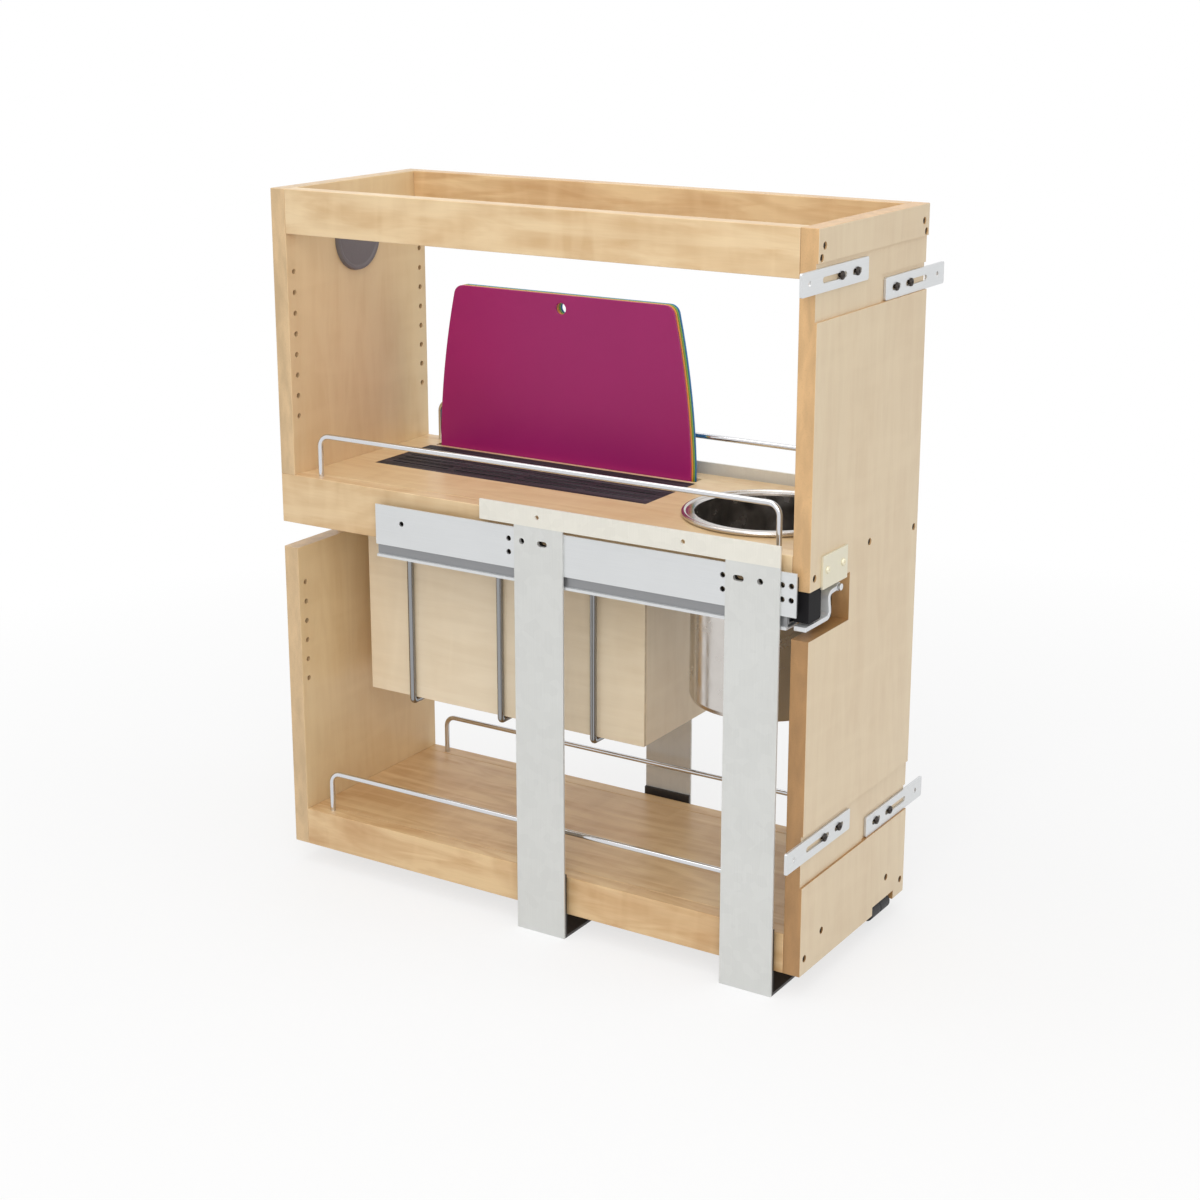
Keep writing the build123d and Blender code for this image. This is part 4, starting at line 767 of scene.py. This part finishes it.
class ORGANIZER_OT_utensil_bin(Operator):
    """Spin the steel bin with its rolled rim"""
    bl_idname = "organizer.utensil_bin"
    bl_label = "Utensil bin"

    def execute(self, context):
        low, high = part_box("utensil_bin")
        middle = Vector(((low.x + high.x) / 2, (low.y + high.y) / 2, low.z))
        rim = (high.x - low.x) / 2
        wall, bead, outer = 1.0 * MM, 2.2 * MM, 66.0 * MM
        bead_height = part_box("shelf_deck")[1].z + 0.3 * MM + bead - low.z
        steps = context.scene.organizer_stage.steps
        profile = [
            (0, 0), (outer - 6 * MM, 0), (outer - 1.8 * MM, 1.8 * MM), (outer, 6 * MM),
            (outer, bead_height), (rim - bead, bead_height), (rim - bead, bead_height + wall),
            (outer - wall - 1.5 * MM, bead_height + wall), (outer - wall, bead_height - 1.5 * MM),
            (outer - wall, 6 * MM), (outer - wall - 1.4 * MM, 2.6 * MM), (outer - 6 * MM, wall), (0, wall),
        ]
        shell = turned(profile, 0.4 * MM, steps)
        ring = bmesh.new()
        upright = Matrix.Translation((rim - bead, 0, bead_height)) @ Matrix.Rotation(math.pi / 2, 4, "X")
        bmesh.ops.create_circle(ring, radius=bead, segments=16, matrix=upright)
        bmesh.ops.spin(
            ring, geom=ring.verts[:] + ring.edges[:], cent=(0, 0, 0), axis=(0, 0, 1),
            angle=math.tau, steps=steps, use_merge=True,
        )
        bmesh.ops.recalc_face_normals(ring, faces=ring.faces[:])
        place = Matrix.Translation(middle)
        steel = polished("stainless_bin", context.scene.organizer_metal.stainless, 0.2)
        shape = joined([(shell, place), (ring, place)])
        add_piece(shape, "utensil_bin_finished", steel, "utensil_bin", ("utensil_bin",))
        return {"FINISHED"}


class ORGANIZER_OT_knife_insert(Operator):
    """Finish the slotted knife insert"""
    bl_idname = "organizer.knife_insert"
    bl_label = "Knife insert"

    def execute(self, context):
        look = context.scene.organizer_plastic
        material = streaked("dark_insert", look.insert, look.insert_streak)
        ease_nodes(("knife_insert",), look.edge, material)
        return {"FINISHED"}


class ORGANIZER_OT_cutting_boards(Operator):
    """Finish the four coloured cutting boards"""
    bl_idname = "organizer.cutting_boards"
    bl_label = "Cutting boards"

    def execute(self, context):
        look = context.scene.organizer_plastic
        for index, colour in enumerate((look.magenta, look.orange, look.green, look.blue), 1):
            material = moulded("board_plastic_%d" % index, colour, 0.4, 0.04, 900.0)
            ease_nodes(("cutting_board_%d" % index,), look.edge, material)
        return {"FINISHED"}


class ORGANIZER_OT_hanging_box(Operator):
    """Finish the plywood box and bend the wires that carry it"""
    bl_idname = "organizer.hanging_box"
    bl_label = "Hanging box"

    def execute(self, context):
        look = context.scene.organizer_wood
        panels = (
            ("box_left_side", Y, X), ("box_right_side", Y, X), ("box_divider", Y, X),
            ("box_front_end", Z, Y), ("box_rear_end", Z, Y), ("box_bottom", Y, Z),
        )
        for seed, (node, grain, face) in enumerate(panels, 20):
            material = maple(
                "plywood_" + node, look, grain, seed, look.box_tone, look.box_grain, look.panel_figure,
                look.box_grain, face, whole_edge=True,
            )
            finish_nodes([node], material)
        # The cradle wires take the chrome darkened as painted shade under the box.
        chrome = polished("cradle_wire", context.scene.organizer_metal.cradle_shaded_chrome, 0.12)
        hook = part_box("left_cabinet_member")[0].z - HOOK_DROP
        shapes = []
        for one_low, one_high in islands("box_cradles"):
            radius = (one_high.y - one_low.y) / 2
            depth = (one_low.y + one_high.y) / 2
            left, right, foot = one_low.x + radius, one_high.x - radius, one_low.z + radius
            points = (
                (left, depth, one_high.z), (left, depth, foot), (right, depth, foot), (right, depth, hook),
            )
            shapes.append((bent_wire(points, radius + 0.3 * MM, radius), Matrix.Identity(4)))
        shape = joined(shapes)
        add_piece(shape, "box_cradles_finished", chrome, "box_cradles", ("box_cradles",), steady=False)
        return {"FINISHED"}


class ORGANIZER_OT_door_brackets(Operator):
    """Finish the slotted door brackets and their clamp screws"""
    bl_idname = "organizer.door_brackets"
    bl_label = "Door brackets"

    def execute(self, context):
        look = context.scene.organizer_metal
        zinc = brushed("bracket_zinc", look.zinc, X, 0.36, metallic=0.7)
        names = [height + "_" + side + "_door_bracket" for height in ("upper", "lower") for side in SIDES]
        ease_nodes(names, look.edge, zinc)
        shapes = []
        for low, high in islands("bracket_clamp_screws"):
            head = (high.x - low.x) / 2
            seat = Vector(((low.x + high.x) / 2, low.y, (low.z + high.z) / 2))
            shape = screw(head, 0.5 * head, high.y - low.y, PAN_HEAD, crown=True)
            shapes.append((shape, faced(FRONT, seat)))
        black = coated("clamp_screw", look.black_oxide, 0.35, metallic=0.8)
        add_piece(
            joined(shapes), "bracket_clamp_screws_finished", black, "bracket_clamp_screws",
            ("bracket_clamp_screws",),
        )
        return {"FINISHED"}


class ORGANIZER_OT_latch(Operator):
    """Finish the latch in the front panel's notch"""
    bl_idname = "organizer.latch"
    bl_label = "Latch"

    def execute(self, context):
        metal = context.scene.organizer_metal
        plastic = context.scene.organizer_plastic
        ease_nodes(("latch_plate",), metal.edge, brushed("ivory_plate", metal.ivory, Z, 0.4, metallic=0.4))
        ease_nodes(("latch_lever",), 2 * metal.edge, brushed("latch_steel", metal.zinc, Z, 0.4, metallic=0.4))
        ease_nodes(("latch_pin",), metal.edge, polished("latch_pin_steel", metal.zinc, 0.25))
        ease_nodes(("latch_block",), plastic.edge, moulded("block_plastic", plastic.block, 0.6, shine=0.15))
        shapes = []
        for low, high in islands("latch_screws"):
            head = (high.x - low.x) / 2
            seat = Vector(((low.x + high.x) / 2, low.y, (low.z + high.z) / 2))
            shape = screw(head, 0.56 * head, high.y - low.y, LATCH_HEAD, crown=True)
            shapes.append((shape, faced(FRONT, seat)))
        steel = polished("latch_screw_steel", metal.ivory, 0.5)
        add_piece(joined(shapes), "latch_screws_finished", steel, "latch_screws", ("latch_screws",))
        return {"FINISHED"}


class ORGANIZER_OT_floor_roller(Operator):
    """Turn the roller under the front panel, with its tread and hub"""
    bl_idname = "organizer.floor_roller"
    bl_label = "Floor roller"

    def execute(self, context):
        plastic = context.scene.organizer_plastic
        metal = context.scene.organizer_metal
        low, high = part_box("floor_roller")
        middle = (low + high) / 2
        radius, half = (high.z - low.z) / 2, (high.x - low.x) / 2
        bore, hub = 2.06 * MM, 4.6 * MM
        inset = 0.6 * MM
        tread = [
            (hub, half - inset), (radius - 1.2 * MM, half), (radius - 0.35 * MM, half - 0.35 * MM),
            (radius, half - 1.2 * MM), (radius, 1.2 * MM), (radius - 0.8 * MM, 0.5 * MM),
        ]
        tread += [(r, -h) for r, h in reversed(tread)] + [(hub, half - inset)]
        core = [
            (bore, half), (hub - 0.8 * MM, half), (hub, half - inset), (hub, inset - half),
            (hub - 0.8 * MM, -half), (bore, -half), (bore, half),
        ]
        across = faced(Vector((1, 0, 0)), middle)
        rubber = moulded("roller_rubber", plastic.rubber, 0.6, 0.05, 800.0)
        add_piece(
            joined([(turned(tread, steps=48), across)]), "floor_roller_tread", rubber, "floor_roller",
            ("floor_roller",),
        )
        core_plastic = moulded("roller_hub_plastic", plastic.hub, 0.45)
        shape = joined([(turned(core, steps=32), across)])
        add_piece(shape, "floor_roller_hub", core_plastic, "floor_roller")
        steel = polished("roller_steel", metal.zinc, 0.25)
        ease_nodes(("roller_bracket",), metal.edge, brushed("roller_zinc", metal.zinc, X, 0.32))
        ease_nodes(("roller_axle",), metal.edge, steel)
        return {"FINISHED"}


class ORGANIZER_OT_stage(Operator):
    """Set up the floor, the studio light and the camera"""
    bl_idname = "organizer.stage"
    bl_label = "Stage"

    def execute(self, context):
        look = context.scene.organizer_stage
        scene = context.scene
        scene.view_settings.view_transform = "Standard"
        self.add_floor(look)
        self.add_sky(scene, look)
        target = (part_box("shelf_deck")[0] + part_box("shelf_deck")[1]) / 2
        self.add_lamp("key_light", (-2.1, -1.0, 1.7), target, 1.8, look.key)
        self.add_lamp("fill_light", (0.6, -2.4, 1.1), target, 1.6, look.fill)
        self.add_lamp("top_light", (-0.3, 0.3, 2.3), target, 2.2, look.top)
        self.add_camera(scene, look)
        return {"FINISHED"}

    def add_floor(self, look):
        shape = bmesh.new()
        bmesh.ops.create_grid(shape, x_segments=8, y_segments=8, size=6.0)
        mesh = bpy.data.meshes.new("studio_floor")
        shape.to_mesh(mesh)
        shape.free()
        floor = bpy.data.objects.new("studio_floor", mesh)
        bpy.context.scene.collection.objects.link(floor)
        paint = Finish("floor_paint", 0.9)
        paint.set("Base Color", look.floor_tone)
        seen = paint.node("LightPath").outputs
        direct = paint.calc("MAXIMUM", seen["Is Camera Ray"], seen["Is Glossy Ray"])
        direct = paint.calc("MAXIMUM", direct, seen["Is Transmission Ray"])
        place = {0: paint.coordinates.outputs["Object"]}
        away = paint.node("VectorMath", place, operation="LENGTH").outputs["Value"]
        share_of_glow = paint.spread(away, 0.35, 1.3, 0.72, 1.0)
        glow = paint.node("Emission", {"Color": (1, 1, 1), "Strength": 1.0}).outputs["Emission"]
        output = paint.tree.nodes["Material Output"]
        blend = paint.node("MixShader", {0: paint.calc("MULTIPLY", direct, share_of_glow)})
        paint.tree.links.new(paint.shader.outputs["BSDF"], blend.inputs[1])
        paint.tree.links.new(glow, blend.inputs[2])
        paint.tree.links.new(blend.outputs[0], output.inputs["Surface"])
        mesh.materials.append(paint.material)

    def add_sky(self, scene, look):
        world = bpy.data.worlds.new("studio_sky")
        world.use_nodes = True
        scene.world = world
        nodes, links = world.node_tree.nodes, world.node_tree.links
        light = nodes.new("ShaderNodeLightPath").outputs
        first = nodes.new("ShaderNodeMath")
        first.operation = "MAXIMUM"
        links.new(light["Is Camera Ray"], first.inputs[0])
        links.new(light["Is Glossy Ray"], first.inputs[1])
        second = nodes.new("ShaderNodeMath")
        second.operation = "MAXIMUM"
        links.new(first.outputs[0], second.inputs[0])
        links.new(light["Is Transmission Ray"], second.inputs[1])
        level = nodes.new("ShaderNodeMapRange")
        level.inputs["To Min"].default_value = look.sky
        links.new(second.outputs[0], level.inputs["Value"])
        background = nodes["Background"]
        background.inputs["Color"].default_value = (1, 1, 1, 1)
        links.new(level.outputs["Result"], background.inputs["Strength"])

    def add_lamp(self, name, place, target, size, power):
        data = bpy.data.lights.new(name, "AREA")
        data.size = size
        data.energy = power
        lamp = bpy.data.objects.new(name, data)
        lamp.location = place
        lamp.rotation_euler = (target - Vector(place)).to_track_quat("-Z", "Y").to_euler()
        bpy.context.scene.collection.objects.link(lamp)

    def add_camera(self, scene, look):
        data = bpy.data.cameras.new("camera")
        data.lens = look.lens
        data.sensor_width = 36.0
        data.shift_y = look.shift
        data.clip_end = 30.0
        camera = bpy.data.objects.new("camera", data)
        camera.location = look.camera_place
        camera.rotation_euler = (math.pi / 2 - look.pitch, 0.0, -look.azimuth)
        scene.collection.objects.link(camera)
        scene.camera = camera


PIECES = (
    ORGANIZER_OT_wood_body,
    ORGANIZER_OT_panel_screws,
    ORGANIZER_OT_round_cap,
    ORGANIZER_OT_runners,
    ORGANIZER_OT_leg_frames,
    ORGANIZER_OT_retaining_rods,
    ORGANIZER_OT_utensil_bin,
    ORGANIZER_OT_knife_insert,
    ORGANIZER_OT_cutting_boards,
    ORGANIZER_OT_hanging_box,
    ORGANIZER_OT_door_brackets,
    ORGANIZER_OT_latch,
    ORGANIZER_OT_floor_roller,
    ORGANIZER_OT_stage,
)
SETTINGS = {
    "organizer_wood": WoodSettings,
    "organizer_metal": MetalSettings,
    "organizer_plastic": PlasticSettings,
    "organizer_stage": StageSettings,
}


class ORGANIZER_PT_pieces(Panel):
    """The organizer's pieces and their settings"""
    bl_idname = "ORGANIZER_PT_pieces"
    bl_label = "Cabinet Organizer"
    bl_space_type = "VIEW_3D"
    bl_region_type = "UI"
    bl_category = "Organizer"

    def draw(self, context):
        for piece in PIECES:
            self.layout.operator(piece.bl_idname)
        for name, group in SETTINGS.items():
            column = self.layout.column(heading=group.__doc__)
            for key in group.__annotations__:
                column.prop(getattr(context.scene, name), key)


CLASSES = (*SETTINGS.values(), *PIECES, ORGANIZER_PT_pieces)


def register():
    for one in CLASSES:
        bpy.utils.register_class(one)
    for name, group in SETTINGS.items():
        setattr(bpy.types.Scene, name, PointerProperty(type=group))


def unregister():
    for name in SETTINGS:
        delattr(bpy.types.Scene, name)
    for one in reversed(CLASSES):
        bpy.utils.unregister_class(one)


def main():
    register()
    for piece in PIECES:
        group, name = piece.bl_idname.split(".")
        getattr(getattr(bpy.ops, group), name)()


if __name__ == "__main__":
    main()
